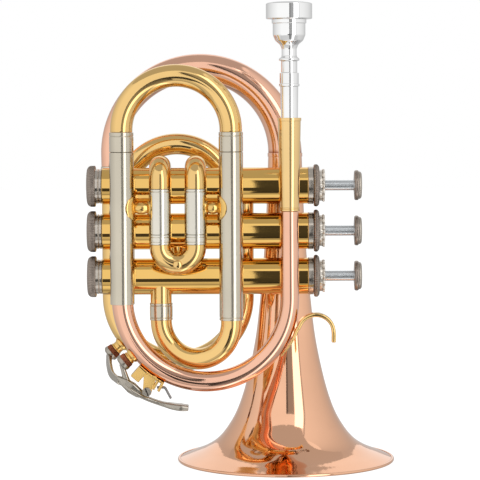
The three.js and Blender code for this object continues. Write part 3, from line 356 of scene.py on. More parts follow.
AXES = {
    "X": (Vector((1, 0, 0)), Vector((0, 1, 0)), Vector((0, 0, 1))),
    "Y": (Vector((0, 1, 0)), Vector((0, 0, 1)), Vector((1, 0, 0))),
    "Z": (Vector((0, 0, 1)), Vector((1, 0, 0)), Vector((0, 1, 0))),
    "front": (Vector((0, -1, 0)), Vector((1, 0, 0)), Vector((0, 0, 1))),
}


def turned(shape, outline, centre, axis="Z", sides=TURNED_SIDES, knurl=None):
    """Turned work: (radius, place along the axis) outline, spun about the axis.
    A knurl is (teeth, depth, from, to, least radius)."""
    along, across, up = AXES[axis] if isinstance(axis, str) else axis
    centre = Vector(centre)
    rings = []
    for radius, place in outline:
        ring = []
        for k in range(sides):
            angle = tau * k / sides
            reach = radius
            if knurl and knurl[2] <= place <= knurl[3] and radius > knurl[4]:
                reach -= knurl[1] * (0.5 - 0.5 * cos(knurl[0] * angle))
            ring.append(centre + along * place + across * reach * cos(angle) + up * reach * sin(angle))
        rings.append(ring)
    return shape.rings(rings, loop=is_closed(outline))


def sized(values, share):
    """A size read from a list that is spread evenly over a length."""
    place = share * (len(values) - 1)
    low = min(int(place), max(len(values) - 2, 0))
    high = min(low + 1, len(values) - 1)
    return values[low] + (values[high] - values[low]) * (place - low)


def slab(shape, stations, widths, thicknesses, across=(0, 1, 0), corner=0.6):
    """A strip with rounded edges. Its width lies along the way across, and its sizes follow the lists."""
    across = Vector(across).normalized()
    stations = with_ends(stations, SOFT_EDGE)
    lengths = lengths_along(stations)
    rings = []
    last = len(stations) - 1
    for i, (point, direction) in enumerate(stations):
        share = lengths[i] / lengths[-1]
        wide = square_to(direction, across)
        up = direction.cross(wide)
        edge = SOFT_EDGE if i in (0, last) else 0
        half_width = sized(widths, share) / 2 - edge
        half_depth = sized(thicknesses, share) / 2 - edge
        bend = min(corner, half_width * SLAB_CORNER_SHARE, half_depth * SLAB_CORNER_SHARE)
        ring = []
        for quarter, (x, y) in enumerate(((1, 1), (-1, 1), (-1, -1), (1, -1))):
            for step in range(SLAB_CORNER_STEPS + 1):
                angle = radians(90 * quarter + 90 * step / SLAB_CORNER_STEPS)
                ring.append(
                    point
                    + wide * (x * (half_width - bend) + bend * cos(angle))
                    + up * (y * (half_depth - bend) + bend * sin(angle))
                )
        rings.append(ring)
    return shape.rings(rings, capped=True)


# Materials

class Nodes:
    """Short words for building a node tree."""

    def __init__(self, owner, cleared=False):
        owner.use_nodes = True
        self.tree = owner.node_tree
        if cleared:
            self.tree.nodes.clear()

    def add(self, kind, inputs=None, **settings):
        """A new node. Each input is given a value, or the output that feeds it."""
        node = self.tree.nodes.new("ShaderNode" + kind)
        for name, value in settings.items():
            setattr(node, name, value)
        self.feed(node, inputs or {})
        return node

    def feed(self, node, inputs):
        for name, value in inputs.items():
            if isinstance(value, bpy.types.NodeSocket):
                self.tree.links.new(value, node.inputs[name])
            else:
                node.inputs[name].default_value = value

    def ramp(self, source, stops):
        """The colour that a source has between (place, tone) stops. A tone is a grey or a colour."""
        node = self.add("ValToRGB", {"Fac": source})
        elements = node.color_ramp.elements
        while len(elements) > 1:
            elements.remove(elements[-1])
        for i, (place, tone) in enumerate(stops):
            element = elements[0] if i == 0 else elements.new(place)
            element.position = place
            element.color = (*tone, 1) if isinstance(tone, tuple) else (tone, tone, tone, 1)
        return node.outputs["Color"]

    def noise(self, coordinate, scale, detail=3, stretch=(1, 1, 1)):
        mapping = self.add("Mapping", {"Scale": stretch, "Vector": coordinate})
        inputs = {"Scale": scale, "Detail": detail, "Vector": mapping.outputs["Vector"]}
        return self.add("TexNoise", inputs).outputs["Fac"]


def new_material(name, slot):
    material = bpy.data.materials.new(name)
    material["slot"] = slot
    nodes = Nodes(material)
    return material, nodes, material.node_tree.nodes["Principled BSDF"]


# Tone drifts over the surface, recesses get painted shade, smudges spread the gloss
DRIFT_SCALE, DRIFT_SHARE = 28, 0.93
DRIFT_RANGE = (0.35, 0.62)
RECESS_SHADE_RANGE = (0.4, 0.485)
SMUDGE_SCALE, SMUDGE_DETAIL = 95, 4
SMUDGE_RANGE = (0.35, 0.75)
SPOT_GAIN = 5
LINE_DETAIL, LINE_STRENGTH = 2, 0.5

# Cork grains
GRAIN_SCALE, GRAIN_NOISE_SCALE, GRAIN_DEPTH, GRAIN_STRENGTH = 1500, 700, 150, 0.6
GRAIN_TONES = ((0, (0.36, 0.12, 0.05)), (0.45, (0.29, 0.085, 0.035)), (0.9, (0.12, 0.035, 0.015)))


def metal(name, slot, colour, recess_shade_colour, roughness, lines=(3, 9), line_depth=2, spots=0.12):
    """A polished or brushed metal. Its tone drifts between two colours, its recesses get painted shade
    towards a darker colour, and it has fine polishing lines round the piece and faint smudges."""
    material, nodes, shader = new_material(name, slot)
    where = nodes.add("TexCoord")
    drift = nodes.noise(where.outputs["Object"], DRIFT_SCALE)
    pale, full = DRIFT_RANGE
    tone = nodes.ramp(drift, ((pale, tuple(c * DRIFT_SHARE for c in colour)), (full, colour)))
    shape = nodes.add("NewGeometry")
    # Painted shade: where the surface is hollow, the colour goes over to the dark recess colour
    recess_shade_mask = nodes.ramp(shape.outputs["Pointiness"], ((RECESS_SHADE_RANGE[0], 1), (RECESS_SHADE_RANGE[1], 0)))
    recess_shaded_tone = nodes.add("Mix", {"B": (*recess_shade_colour, 1), "Factor": recess_shade_mask, "A": tone}, data_type="RGBA")
    smudge = nodes.noise(where.outputs["Object"], SMUDGE_SCALE, SMUDGE_DETAIL)
    spread = nodes.add("MapRange", {
        "Value": smudge, "From Min": SMUDGE_RANGE[0], "From Max": SMUDGE_RANGE[1],
        "To Min": roughness, "To Max": roughness * (1 + spots * SPOT_GAIN),
    })
    polish = nodes.noise(where.outputs["UV"], 1, LINE_DETAIL, (*lines, 1))
    bump = nodes.add("Bump", {"Strength": LINE_STRENGTH, "Distance": line_depth * MICRON, "Height": polish})
    nodes.feed(shader, {
        "Metallic": 1, "Base Color": recess_shaded_tone.outputs["Result"], "Roughness": spread.outputs["Result"],
        "Normal": bump.outputs["Normal"],
    })
    return material


def cork_material():
    material, nodes, shader = new_material("cork_disc", "cork")
    where = nodes.add("TexCoord")
    grains = nodes.add("TexVoronoi", {"Scale": GRAIN_SCALE, "Vector": where.outputs["Object"]})
    distance = grains.outputs["Distance"]
    grain_noise = nodes.noise(where.outputs["Object"], GRAIN_NOISE_SCALE)
    rough = nodes.add("MapRange", {"To Min": 0.7, "To Max": 0.95, "Value": grain_noise})
    bump = nodes.add("Bump", {
        "Strength": GRAIN_STRENGTH, "Distance": GRAIN_DEPTH * MICRON, "Height": distance,
    })
    nodes.feed(shader, {
        "Specular IOR Level": 0.25, "Base Color": nodes.ramp(distance, GRAIN_TONES),
        "Roughness": rough.outputs["Result"], "Normal": bump.outputs["Normal"],
    })
    return material


# Each metal's second colour is the painted shade in its recesses
rose_brass = metal("rose_brass_lacquered", "rose_brass", (0.94, 0.545, 0.385), (0.36, 0.12, 0.06), 0.06)
bell_rose = metal("rose_brass_bell", "rose_brass", (0.95, 0.54, 0.345), (0.38, 0.13, 0.06), 0.045, (2, 5))
yellow_brass = metal("yellow_brass_lacquered", "yellow_brass", (0.915, 0.61, 0.24), (0.3, 0.14, 0.02), 0.06)
casing_brass = metal(
    "yellow_brass_casings", "yellow_brass", (0.9, 0.565, 0.17), (0.28, 0.12, 0.02), 0.02,
    line_depth=0.2, spots=0.04)
receiver_brass = metal("yellow_brass_receiver", "yellow_brass", (0.93, 0.65, 0.3), (0.32, 0.16, 0.03), 0.07)
fitting_brass = metal("yellow_brass_fittings", "yellow_brass", (0.87, 0.565, 0.19), (0.24, 0.11, 0.02), 0.13)
nickel = metal("nickel_silver", "nickel", (0.66, 0.6, 0.485), (0.2, 0.17, 0.12), 0.12, (2, 14), 4)
pale_nickel = metal(
    "nickel_silver_bright", "nickel", (0.8, 0.76, 0.66), (0.26, 0.23, 0.18), 0.11, (2, 14), 4)
cap_nickel = metal("nickel_caps", "dark_nickel", (0.36, 0.3, 0.255), (0.09, 0.07, 0.06), 0.24, (4, 9), 6)
cap_bright = metal(
    "nickel_cap_necks", "dark_nickel", (0.62, 0.56, 0.49), (0.16, 0.14, 0.11), 0.14, line_depth=4)
cap_hub = metal("nickel_cap_hubs", "dark_nickel", (0.84, 0.78, 0.7), (0.2, 0.17, 0.14), 0.28, line_depth=4)
button_face = metal("button_faces", "dark_nickel", (0.47, 0.42, 0.36), (0.16, 0.13, 0.1), 0.3, line_depth=5)
stem_steel = metal("stem_steel", "dark_nickel", (0.74, 0.77, 0.79), (0.2, 0.22, 0.24), 0.21, line_depth=4)
silver = metal("silver_plate", "silver", (0.96, 0.96, 0.955), (0.42, 0.41, 0.39), 0.045, (2, 6), 1.5)
key_silver = metal("water_key_nickel", "nickel", (0.45, 0.41, 0.35), (0.07, 0.06, 0.05), 0.2, (5, 2), 6)
key_steel = metal("water_key_steel", "nickel", (0.34, 0.33, 0.32), (0.06, 0.06, 0.06), 0.24, line_depth=6)
# Painted shade: a near-black metal for the floor of the screw slot
slot_shade = metal("screw_slot_painted_shade", "nickel", (0.1, 0.09, 0.08), (0.02, 0.02, 0.02), 0.5)
piston_nickel = metal("piston_nickel", "nickel", (0.66, 0.65, 0.62), (0.2, 0.2, 0.18), 0.16)
spring_steel = metal("spring_steel", "spring_steel", (0.5, 0.51, 0.53), (0.12, 0.12, 0.13), 0.25)
cork = cork_material()

# Pieces that stay as they are, inside the valves
for number in (1, 2, 3):
    for node, material in ((f"piston_{number}", piston_nickel), (f"piston_spring_{number}", spring_steel)):
        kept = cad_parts[node]
        kept.data.materials.clear()
        kept.data.materials.append(material)

# Places that many pieces share. Valve axes come highest first, slide legs come left first.
VALVES = (157.7, 132.55, 107.4)
FRONT, BACK = -17.5, 27.0005
LEFT_X, RIGHT_X, PIPE_X = -90.3, -30.5, 1.5
TAIL_X = -98
INLET_X, INLET_Y = -69.6, -3
LEG_X = {"left": -69.5, "right": -50}
LEG_MIDDLE_X = -59.75
FIRST_Y = -17.3
THIRD_X = {"left": -91, "right": -31}
THIRD_Y = 16.5

# Bell
BELL_LENGTH, BELL_THROAT, BELL_GAIN, BELL_WALL = 174.2, 9.5, 51.3, 0.8
BEAD, BEAD_MIDDLE, RIM_FOOT = 0.9, 60.8, 1.3
BEAD_ANGLES = range(125, -131, -15)
# height up the bell, and radius gained from throat to rim, both as shares of the whole
FLARE_SHARES = (
    (1, 0), (0.828, 0.021), (0.657, 0.056), (0.525, 0.096), (0.394, 0.15), (0.261, 0.245),
    (0.168, 0.345), (0.107, 0.456), (0.064, 0.577), (0.036, 0.72), (0.016, 0.88),
)


def bell_outline():
    marks = [
        Vector((BELL_THROAT + BELL_GAIN * gain, BEAD + (BELL_LENGTH - BEAD) * height))
        for height, gain in FLARE_SHARES
    ]
    marks.append(Vector((BELL_THROAT + BELL_GAIN, RIM_FOOT)))
    outside = spline([marks[0], *marks, marks[-1]], FLARE_STEPS)
    inside = [
        Vector((point.x + way.y * BELL_WALL, point.y - way.x * BELL_WALL)) for point, way in facing(outside)
    ]
    bead = arc((BEAD_MIDDLE, BEAD), BEAD, BEAD_ANGLES)
    return [tuple(point) for point in (*outside, *bead, *reversed(inside))]


turned(Shape(), bell_outline(), (0, BACK, 0), sides=BELL_SIDES).piece("bell_fine", bell_rose, sharp=60)

# Top bow, from the tail ferrule to the bell throat
BELL_SEAM, BELL_BOW_FOOT, BELL_BOW_TOP = 174.3, 168, 223.5
BELL_BOW_DIAMETERS = (12.2, 10.2, 19)
SEAM_RING = (9.3, 9.85, -1.2, 1)

bell_bow_path = bow_path((TAIL_X, BACK, BELL_BOW_FOOT), (0, BACK, BELL_SEAM), BELL_BOW_TOP)
tube(Shape(), bell_bow_path, *BELL_BOW_DIAMETERS).piece("bell_bow_fine", rose_brass)
turned(Shape(), ring_outline(*SEAM_RING, soft=0.3), (0, BACK, BELL_SEAM)).piece("bell_seam_ring", rose_brass)

# Bell tail
TAIL_WIDTH, TAIL_LOW, TAIL_HEAD = 74.1, 56.9, 156.6
TAIL_OUTLET_ANGLE = 0.114 * tau
TAIL_BEND_RADII = (11, 37.05, 37.05)
TAIL_TUBE = (12, 10.2)
TAIL_FERRULE = (6.4, 5.1, 156.5, 168, (158.2, 166.3))

tail_start_x = TAIL_X + TAIL_WIDTH
tail_outlet_x = tail_start_x + BACK * tan(TAIL_OUTLET_ANGLE)
tail_path = bent_path([
    (tail_outlet_x, 0, VALVES[0]), (tail_start_x, BACK, VALVES[0]), (tail_start_x, BACK, TAIL_LOW),
    (TAIL_X, BACK, TAIL_LOW), (TAIL_X, BACK, TAIL_HEAD),
], TAIL_BEND_RADII)
tube(Shape(), tail_path, *TAIL_TUBE, start_valve=VALVES[0]).piece("bell_tail_fine", yellow_brass)
turned(Shape(), sleeve(*TAIL_FERRULE), (TAIL_X, BACK, 0)).piece("bell_tail_ferrule_fine", nickel)

# Mouthpiece: (radius, drop from its top), down the outside, up the inside and over the rim
MOUTHPIECE_TOP = 258.2
MOUTHPIECE = (
    (12.6, 0.9), (12.6, 9.2), (9.45, 9.2), (9.45, 11.6), (8.9, 11.6), (8.9, 18), (7.6, 21), (5, 23.2),
    (4.1, 25.4), (4.1, 29.2), (5.6, 30.7), (5.6, 31.9), (4.4, 31.9), (4.4, 38.4), (5.2, 38.4), (5.2, 44.4),
    (5.6, 44.4), (5.6, 45.8), (4.9, 45.8), (4.4, 88), (3.7, 88), (2.1, 15), (2.2, 12), (3.4, 10.9),
    (6.2, 7.4), (7.9, 3.4), (8.4, 1.1), (9.2, 0.25), (10.5, 0), (11.8, 0.2),
)

mouthpiece_outline = [(radius, MOUTHPIECE_TOP - drop) for radius, drop in softened(MOUTHPIECE, 0.55)]
turned(Shape(), mouthpiece_outline, (PIPE_X, FRONT, 0)).piece(
    "mouthpiece_fine", silver, body="mouthpiece_body", sharp=50)

# Receiver
RECEIVER = (
    (4.2, 144.4), (5.6, 144.4), (5.6, 145.3), (5.35, 145.5), (5.35, 145.7), (5.6, 145.9), (5.6, 146.4),
    (5.3, 146.4), (6.25, 193.6), (6.55, 193.6), (6.55, 195.3), (5.25, 195.3), (4.9, 164.3), (4.2, 164.3),
)

turned(Shape(), softened(RECEIVER, 0.3), (PIPE_X, FRONT, 0)).piece(
    "receiver_fine", receiver_brass, "mouthpiece_receiver")

# Leadpipe and its big bow
PIPE_HEAD, PIPE_LOW, PIPE_END = 144.2, 50.7, 96.6
PIPE_DIAMETERS = (9.8, 8.4, 11.8)

leadpipe_path = bow_path((PIPE_X, FRONT, PIPE_HEAD), (LEFT_X, FRONT, PIPE_END), PIPE_LOW)
tube(Shape(), leadpipe_path, *PIPE_DIAMETERS).piece("leadpipe_fine", rose_brass)

# Main tuning slide
SLEEVE_OUTER, SLEEVE_INNER, SLEEVE_HEAD = 6.65, 6.3, 176.7
SLEEVES = (("left", LEFT_X, 93.5, ()), ("right", RIGHT_X, 84.6, (86.1,)))
TUNING_LEG = (
    (5.4, 115), (6, 115), (6, 177), (6.65, 177), (6.65, 185.2), (6.45, 185.4), (6.45, 185.6),
    (6.65, 185.8), (6.65, 187.7), (5.4, 187.7),
)
CROOK_FOOT, CROOK_TOP, CROOK_TUBE = 187.8, 218.6, (12.3, 10.8)

for side, x, foot, grooves in SLEEVES:
    turned(Shape(), sleeve(SLEEVE_OUTER, SLEEVE_INNER, foot, SLEEVE_HEAD, grooves), (x, FRONT, 0)).piece(
        f"tuning_sleeve_{side}_fine", nickel)
    turned(Shape(), softened(TUNING_LEG, 0.25), (x, FRONT, 0)).piece(
        f"tuning_leg_{side}_fine", nickel, f"tuning_slide_leg_{side}", "tuning_slide_body")
crook_path = bow_path((LEFT_X, FRONT, CROOK_FOOT), (RIGHT_X, FRONT, CROOK_FOOT), CROOK_TOP)
tube(Shape(), crook_path, *CROOK_TUBE).piece(
    "tuning_crook_fine", yellow_brass, "tuning_slide_crook", "tuning_slide_body")

# Inlet from the main slide into the lowest valve
INLET_START, INLET_BEND, INLET_END, INLET_TUBE_FOOT = 85.2, 83.2, 83.8, 92.8
INLET_PIPE = (11.8, 10.2)
INLET_FERRULE = (6.35, 5.1, 83.5, 93, (84.9, 91.6))

inlet_low = INLET_BEND - hypot(RIGHT_X - INLET_X, FRONT - INLET_Y) / 2
inlet_path = bow_path((RIGHT_X, FRONT, INLET_START), (INLET_X, INLET_Y, INLET_END), inlet_low)
tube(Shape(), inlet_path, *INLET_PIPE).piece("inlet_bow_fine", yellow_brass)
turned(Shape(), sleeve(*INLET_FERRULE), (INLET_X, INLET_Y, 0)).piece("inlet_ferrule_fine", nickel)
inlet_run = straight((INLET_X, INLET_Y, INLET_TUBE_FOOT), (INLET_X, INLET_Y, VALVES[2]))
tube(Shape(), inlet_run, *INLET_PIPE, end_valve=VALVES[2]).piece("inlet_tube_fine", yellow_brass)

# First valve slide
FIRST_BEND_TOP, FIRST_BEND_END, FIRST_CROOK_HEAD, FIRST_CROOK_LOW = 168.9, 156.8, 126.2, 115.45
FIRST_BEND, SLIDE_TUBE = (11.9, 10.2), (11.6, 9.6)
FIRST_SLEEVE = (6.05, 5.7, 132, 156.6, (155.2,))
FIRST_LEG = (
    (4.8, 153.7), (5.4, 153.7), (5.4, 131.7), (6.05, 131.7), (6.05, 130.6), (5.85, 130.45), (5.85, 130.3),
    (6.05, 130.15), (6.05, 128), (5.85, 127.85), (5.85, 127.7), (6.05, 127.55), (6.05, 126.3), (4.8, 126.3),
)
KNOB_NECK = ((0.01, 4.9), (2.6, 5.2), (2.6, 5.7), (1.5, 5.9), (1.5, 6.2))
KNOB_DOME, KNOB_TOP = ((0.02, 6.9), 2.5, range(-60, 91, 15), 1.1), (0, 8)

for side, x in LEG_X.items():
    bend = bow_path((x, 0, VALVES[0]), (x, FIRST_Y, FIRST_BEND_END), FIRST_BEND_TOP)
    tube(Shape(), bend, *FIRST_BEND, start_valve=VALVES[0]).piece(
        f"first_bend_{side}_fine", yellow_brass, f"first_slide_bend_{side}")
    turned(Shape(), sleeve(*FIRST_SLEEVE), (x, FIRST_Y, 0)).piece(
        f"first_sleeve_{side}_fine", pale_nickel, f"first_slide_sleeve_{side}")
    turned(Shape(), softened(FIRST_LEG, 0.2), (x, FIRST_Y, 0)).piece(
        f"first_leg_{side}_fine", pale_nickel, f"first_slide_leg_{side}", "first_slide_body")
first_crook = Shape()
tube(first_crook, bow_path(
    (LEG_X["left"], FIRST_Y, FIRST_CROOK_HEAD), (LEG_X["right"], FIRST_Y, FIRST_CROOK_HEAD), FIRST_CROOK_LOW,
), *SLIDE_TUBE)
knob = [*softened(KNOB_NECK, 0.2), *arc(*KNOB_DOME), KNOB_TOP]
knob_place = (LEG_MIDDLE_X, FIRST_Y, FIRST_CROOK_LOW)
turned(first_crook, knob, knob_place, axis="front", sides=SMALL_SIDES)
first_crook.piece("first_crook_fine", yellow_brass, "first_slide_crook", "first_slide_body")

# Second valve slide, at the back
SECOND_SLEEVE_END, SECOND_SLEEVE = 24.8, (12.1, 11.4)
SECOND_FERRULE = (6.05, 4.8, 25.1, 30.5, (26.4, 29.2))
SECOND_LEG = (4.8, 5.4, 13.1, 25.2)
SECOND_HEAD, SECOND_TURN = 30.4, 41.05

second = Shape()
for side, x in LEG_X.items():
    run = straight((x, 0, VALVES[1]), (x, SECOND_SLEEVE_END, VALVES[1]))
    tube(Shape(), run, *SECOND_SLEEVE, start_valve=VALVES[1]).piece(
        f"second_sleeve_{side}_fine", nickel, f"second_slide_sleeve_{side}")
    turned(Shape(), sleeve(*SECOND_FERRULE, soft=0.2), (x, 0, VALVES[1]), axis="Y").piece(
        f"second_ferrule_{side}_fine", nickel, body="second_slide_body")
    turned(second, ring_outline(*SECOND_LEG, soft=0.2), (x, 0, VALVES[1]), axis="Y")
tube(second, bow_path(
    (LEG_X["left"], SECOND_HEAD, VALVES[1]), (LEG_X["right"], SECOND_HEAD, VALVES[1]), SECOND_TURN, along=1,
), *SLIDE_TUBE)
second.piece("second_slide_fine", yellow_brass, "second_slide", "second_slide_body")

# Third valve slide, behind the valves
THIRD_BEND_LOW, THIRD_BEND_END, THIRD_FOOT, THIRD_TOP = 96.2, 131.4, 137, 180.7
THIRD_BEND, THIRD_TUBE = (11.9, 11), (11.8, 9.6)
THIRD_FERRULE = (6.05, 4.8, 131.7, 137.1, (133, 135.8))
THIRD_LEG = (4.8, 5.4, 107.7, 131.8)

third = Shape()
for side, x in THIRD_X.items():
    bend = bow_path((x, 0, VALVES[2]), (x, THIRD_Y, THIRD_BEND_END), THIRD_BEND_LOW)
    tube(Shape(), bend, *THIRD_BEND, start_valve=VALVES[2]).piece(
        f"third_tube_{side}_fine", yellow_brass, f"third_slide_tube_{side}")
    turned(Shape(), sleeve(*THIRD_FERRULE, soft=0.2), (x, THIRD_Y, 0)).piece(
        f"third_ferrule_{side}_fine", nickel, body="third_slide_body")
    turned(third, ring_outline(*THIRD_LEG, soft=0.2), (x, THIRD_Y, 0))
tube(third, bow_path(
    (THIRD_X["left"], THIRD_Y, THIRD_FOOT), (THIRD_X["right"], THIRD_Y, THIRD_FOOT), THIRD_TOP,
), *THIRD_TUBE)
third.piece("third_slide_fine", yellow_brass, "third_slide", "third_slide_body")

# Valves: casings, caps, stems and finger buttons. Outlines are (radius, place from where the piece starts).
FOOT_X, HEAD_X, STROKE = -101.9, 15, 15.9
CASING_BORE, CASING_OUTER, CASING_RING_OUTER, CASING_RING = 8.9, 10.1, 10.4, 2.9
BOTTOM_NECK = softened((
    (7, 1.2), (8.6, 1.2), (8.6, 0), (9.6, 0), (9.6, -1.3), (9.3, -1.5), (9.3, -1.7), (9.6, -1.9),
    (9.6, -3.7), (7, -3.7),
), 0.2)
GRIP_END_DROP = 8.2
GRIP_DOME = ((8.7, 2.6), 2.7, range(0, 91, 10), -2.6)
GRIP = (
    (7, 4.7), (10.9, 4.7), (11.25, 4.55), (11.4, 4.2), (11.4, 3.6), *arc(*GRIP_DOME), (5.2, 0.1),
    (4.6, 0.5), (3.2, 0.5), (2.8, 0.35), (2.3, 0.5), (2.3, 1.5), (7, 1.5),
)
TOP_FLANGE = softened((
    (7, -1.2), (8.6, -1.2), (8.6, 0), (11.2, 0), (11.7, 0.6), (11.7, 1.9), (10.6, 3), (7.6, 3),
    (7.6, 3.2), (7, 3.2),
), 0.25)
LIP_HEAD = 6.1
TOP_LIP = softened((
    (3.15, 2.9), (8.6, 2.9), (8.6, 4.7), (9.2, 5), (9.2, 5.8), (8.9, LIP_HEAD), (3.15, LIP_HEAD),
), 0.2)
GRIP_SPUN = {"sharp": 70, "sides": 360, "knurl": (72, 0.3, 0.35, 4.4, 9.4)}
FLANGE_SPUN = {"sharp": 70, "sides": 360, "knurl": (72, 0.3, 0.4, 2.2, 11)}
LIP_SPUN = {"sharp": 70, "sides": 280, "knurl": (14, 1.1, 4.6, LIP_HEAD, 8.5)}
PISTON_HEAD_DROP, STEM_RADIUS, STEM_OVERLAP = 2.4, 2.85, 0.5
STEM_FOOT = ((0, -7), (1.8, -7), (1.8, 0), (STEM_RADIUS, 0))
BUTTON_FLANGE = softened(((0, 0), (4.2, 0), (8, 0.3), (8.35, 0.9), (8.35, 2), (8, 2.6), (0, 2.6)), 0.35)
FACE_DOME = ((6.2, 3), 1.4, range(0, 91, 15), 1.25)
BUTTON_FACE = ((0, 2.4), (7.6, 2.4), (7.6, 2.8), *arc(*FACE_DOME), (4, 4.33), (2, 4.38), (0, 4.4))

ring_x = HEAD_X - CASING_RING
neck_x = FOOT_X - SEAM
cap_x = HEAD_X + SEAM
stem_x = HEAD_X - PISTON_HEAD_DROP + SEAM
button_x = cap_x + LIP_HEAD + STROKE + SEAM
stem_length = button_x + STEM_OVERLAP - stem_x
casing = ring_outline(CASING_BORE, CASING_OUTER, FOOT_X, ring_x, 0.3)
casing_ring = ring_outline(CASING_BORE, CASING_RING_OUTER, ring_x, HEAD_X, 0.3)
stem = softened([*STEM_FOOT, (STEM_RADIUS, stem_length), (0, stem_length)], 0.2)


def valve_piece(valve, name, outline, x, material, node="", body="frame_body", sharp=SHARP_ANGLE, **spun):
    """Turned work on the axis of a valve, whose number goes into the names."""
    number, height = valve
    shape = turned(Shape(), outline, (x, 0, height), axis="X", **spun)
    shape.piece(name.format(number), material, node.format(number), body.format(number), sharp)


for valve in enumerate(VALVES, 1):
    valve_piece(valve, "casing_{}_fine", casing, 0, casing_brass, "valve_casing_{}")
    valve_piece(valve, "casing_ring_{}", casing_ring, 0, cap_bright)
    valve_piece(valve, "bottom_neck_{}", BOTTOM_NECK, neck_x, cap_bright)
    valve_piece(valve, "bottom_cap_{}_fine", GRIP, neck_x - GRIP_END_DROP, cap_nickel, **GRIP_SPUN)
    valve_piece(valve, "top_cap_{}_fine", TOP_FLANGE, cap_x, cap_nickel, **FLANGE_SPUN)
    valve_piece(valve, "top_lip_{}", TOP_LIP, cap_x, cap_hub, **LIP_SPUN)
    moving = {"body": "piston_{}_body"}
    valve_piece(valve, "stem_{}_fine", stem, stem_x, stem_steel, "piston_stem_{}", sides=STEM_SIDES, **moving)
    valve_piece(valve, "button_{}_flange", BUTTON_FLANGE, button_x, cap_nickel, **moving)
    valve_piece(valve, "button_{}_face", BUTTON_FACE, button_x, button_face, **moving)

# Knuckles between the casings: x, and the heights of the valves that each joins
KNUCKLES = {"knuckle_1_2": (-50, VALVES[0], VALVES[1]), "knuckle_2_3": (-60, VALVES[1], VALVES[2])}
KNUCKLE_TUBE = (11.5, 10.2)

for name, (x, high, low) in KNUCKLES.items():
    run = straight((x, 0, low), (x, 0, high))
    tube(Shape(), run, *KNUCKLE_TUBE, start_valve=low, end_valve=high).piece(f"{name}_fine", yellow_brass)

# Braces. Plates are (tube radius, reach, rise), balusters (diameter at the ends, in the middle).
PLATE_SIDES, PLATE_THICKNESS, PLATE_EDGE, PLATE_FIT = 40, 0.9, 0.35, 0.1
PLATE_OUTER_SHARES, PLATE_INNER_SHARES = (0, 0.25, 0.5, 0.75, 0.92, 1), (1, 0.5, 0)
BALUSTER_STEPS = 12
BRACE_Z, OUTER_REACH, INNER_REACH = 146.2, 7.2, 6.6
OUTER_PLATE, INNER_PLATE, FRONT_BALUSTER = (6.65, 9.2, 7), (6.05, 5, 4), (5, 6.6)
# short braces: x, y at both ends, height, baluster
SHORT_BRACES = {
    "bell_brace": (1.2, 9.9, 17.2, VALVES[1], (4.4, 5.4)),
    "receiver_brace": (PIPE_X, -9.9, -12.2, VALVES[0], (6, 6.4)),
}


def wrap_plate(shape, middle, sign, tube_radius, reach, rise):
    """An oval plate bent on to an upright tube, on the side the sign gives."""
    bend_radius = tube_radius + PLATE_THICKNESS

    def ring(share, out):
        points = []
        for k in range(PLATE_SIDES):
            angle = tau * k / PLATE_SIDES
            turn = reach * share * cos(angle) / bend_radius
            way = (sign * out * cos(turn), out * sin(turn), rise * share * sin(angle))
            points.append(Vector(middle) + Vector(way))
        return points

    outer = [ring(share, bend_radius - (PLATE_EDGE if share == 1 else 0)) for share in PLATE_OUTER_SHARES]
    inner = [ring(share, tube_radius - PLATE_FIT) for share in PLATE_INNER_SHARES]
    shape.rings(outer + inner)


def baluster(shape, start, end, diameter, bulge):
    """A turned brace that swells in the middle."""
    way = Vector(end) - Vector(start)
    outline = [(0, 0)]
    for i in range(BALUSTER_STEPS + 1):
        share = i / BALUSTER_STEPS
        swell = (bulge - diameter) * sin(pi * share)
        outline.append(((diameter + swell) / 2, way.length * share))
    outline = softened([*outline, (0, way.length)], 0.3)
    turned(shape, outline, start, axis=axes_along(way), sides=SMALL_SIDES)


for side, outer_x, sign in (("left", LEFT_X, -1), ("right", RIGHT_X, 1)):
    brace = Shape()
    wrap_plate(brace, (outer_x, FRONT, BRACE_Z), -sign, *OUTER_PLATE)
    wrap_plate(brace, (LEG_X[side], FIRST_Y, BRACE_Z), sign, *INNER_PLATE)
    start = (outer_x - sign * OUTER_REACH, FRONT, BRACE_Z)
    end = (LEG_X[side] + sign * INNER_REACH, FRONT, BRACE_Z)
    baluster(brace, start, end, *FRONT_BALUSTER)
    brace.piece(f"front_brace_{side}_fine", fitting_brass)
for name, (x, start_y, end_y, height, diameters) in SHORT_BRACES.items():
    brace = Shape()
    baluster(brace, (x, start_y, height), (x, end_y, height), *diameters)
    brace.piece(f"{name}_fine", fitting_brass)

# Pinky hook. Bows are the (x, z) of their middle, and radius. Places on them are in turns.
PIPE_BOW, PIPE_BOW_RADIUS = (-44.4, 96.6), 52.1
TAIL_BOW, TAIL_BOW_RADIUS = (-60.95, 93.95), 43.35
HOOK_ROOT_RADII, HOOK_ROOT_TURNS = (52.05, 52.33, 52.61, 52.89), (-0.106, -0.088, -0.07, -0.052)
HOOK_BOW, HOOK_TIP = ((15.7, 77.6), 9.8, 0.46, 0, 6), (25.5, FRONT, 72.2)
# strips have widths, then thicknesses, spread evenly over their length
HOOK_SIZES = ((3, 5.2, 6.6, 7, 7, 7, 7, 7, 6.8, 6.2), (0.7, 1.2, 1.8, 2.2, 2.3, 2.3, 2.3, 2.3))


def on_circle(middle, radius, turns, y=FRONT):
    angle = turns * tau
    return Vector((middle[0] + radius * cos(angle), y, middle[1] + radius * sin(angle)))


def round_circle(middle, radius, start, end, steps):
    """Places on a circle, evenly spread from one turn to another."""
    return [on_circle(middle, radius, start + (end - start) * i / steps) for i in range(steps + 1)]


hook_root = [on_circle(PIPE_BOW, radius, turns) for radius, turns in zip(HOOK_ROOT_RADII, HOOK_ROOT_TURNS)]
hook_path = smooth_path([*hook_root, *round_circle(*HOOK_BOW), HOOK_TIP], 8)
hook = Shape()
slab(hook, hook_path, *HOOK_SIZES, corner=0.9)
hook.piece("pinky_hook_fine", yellow_brass)

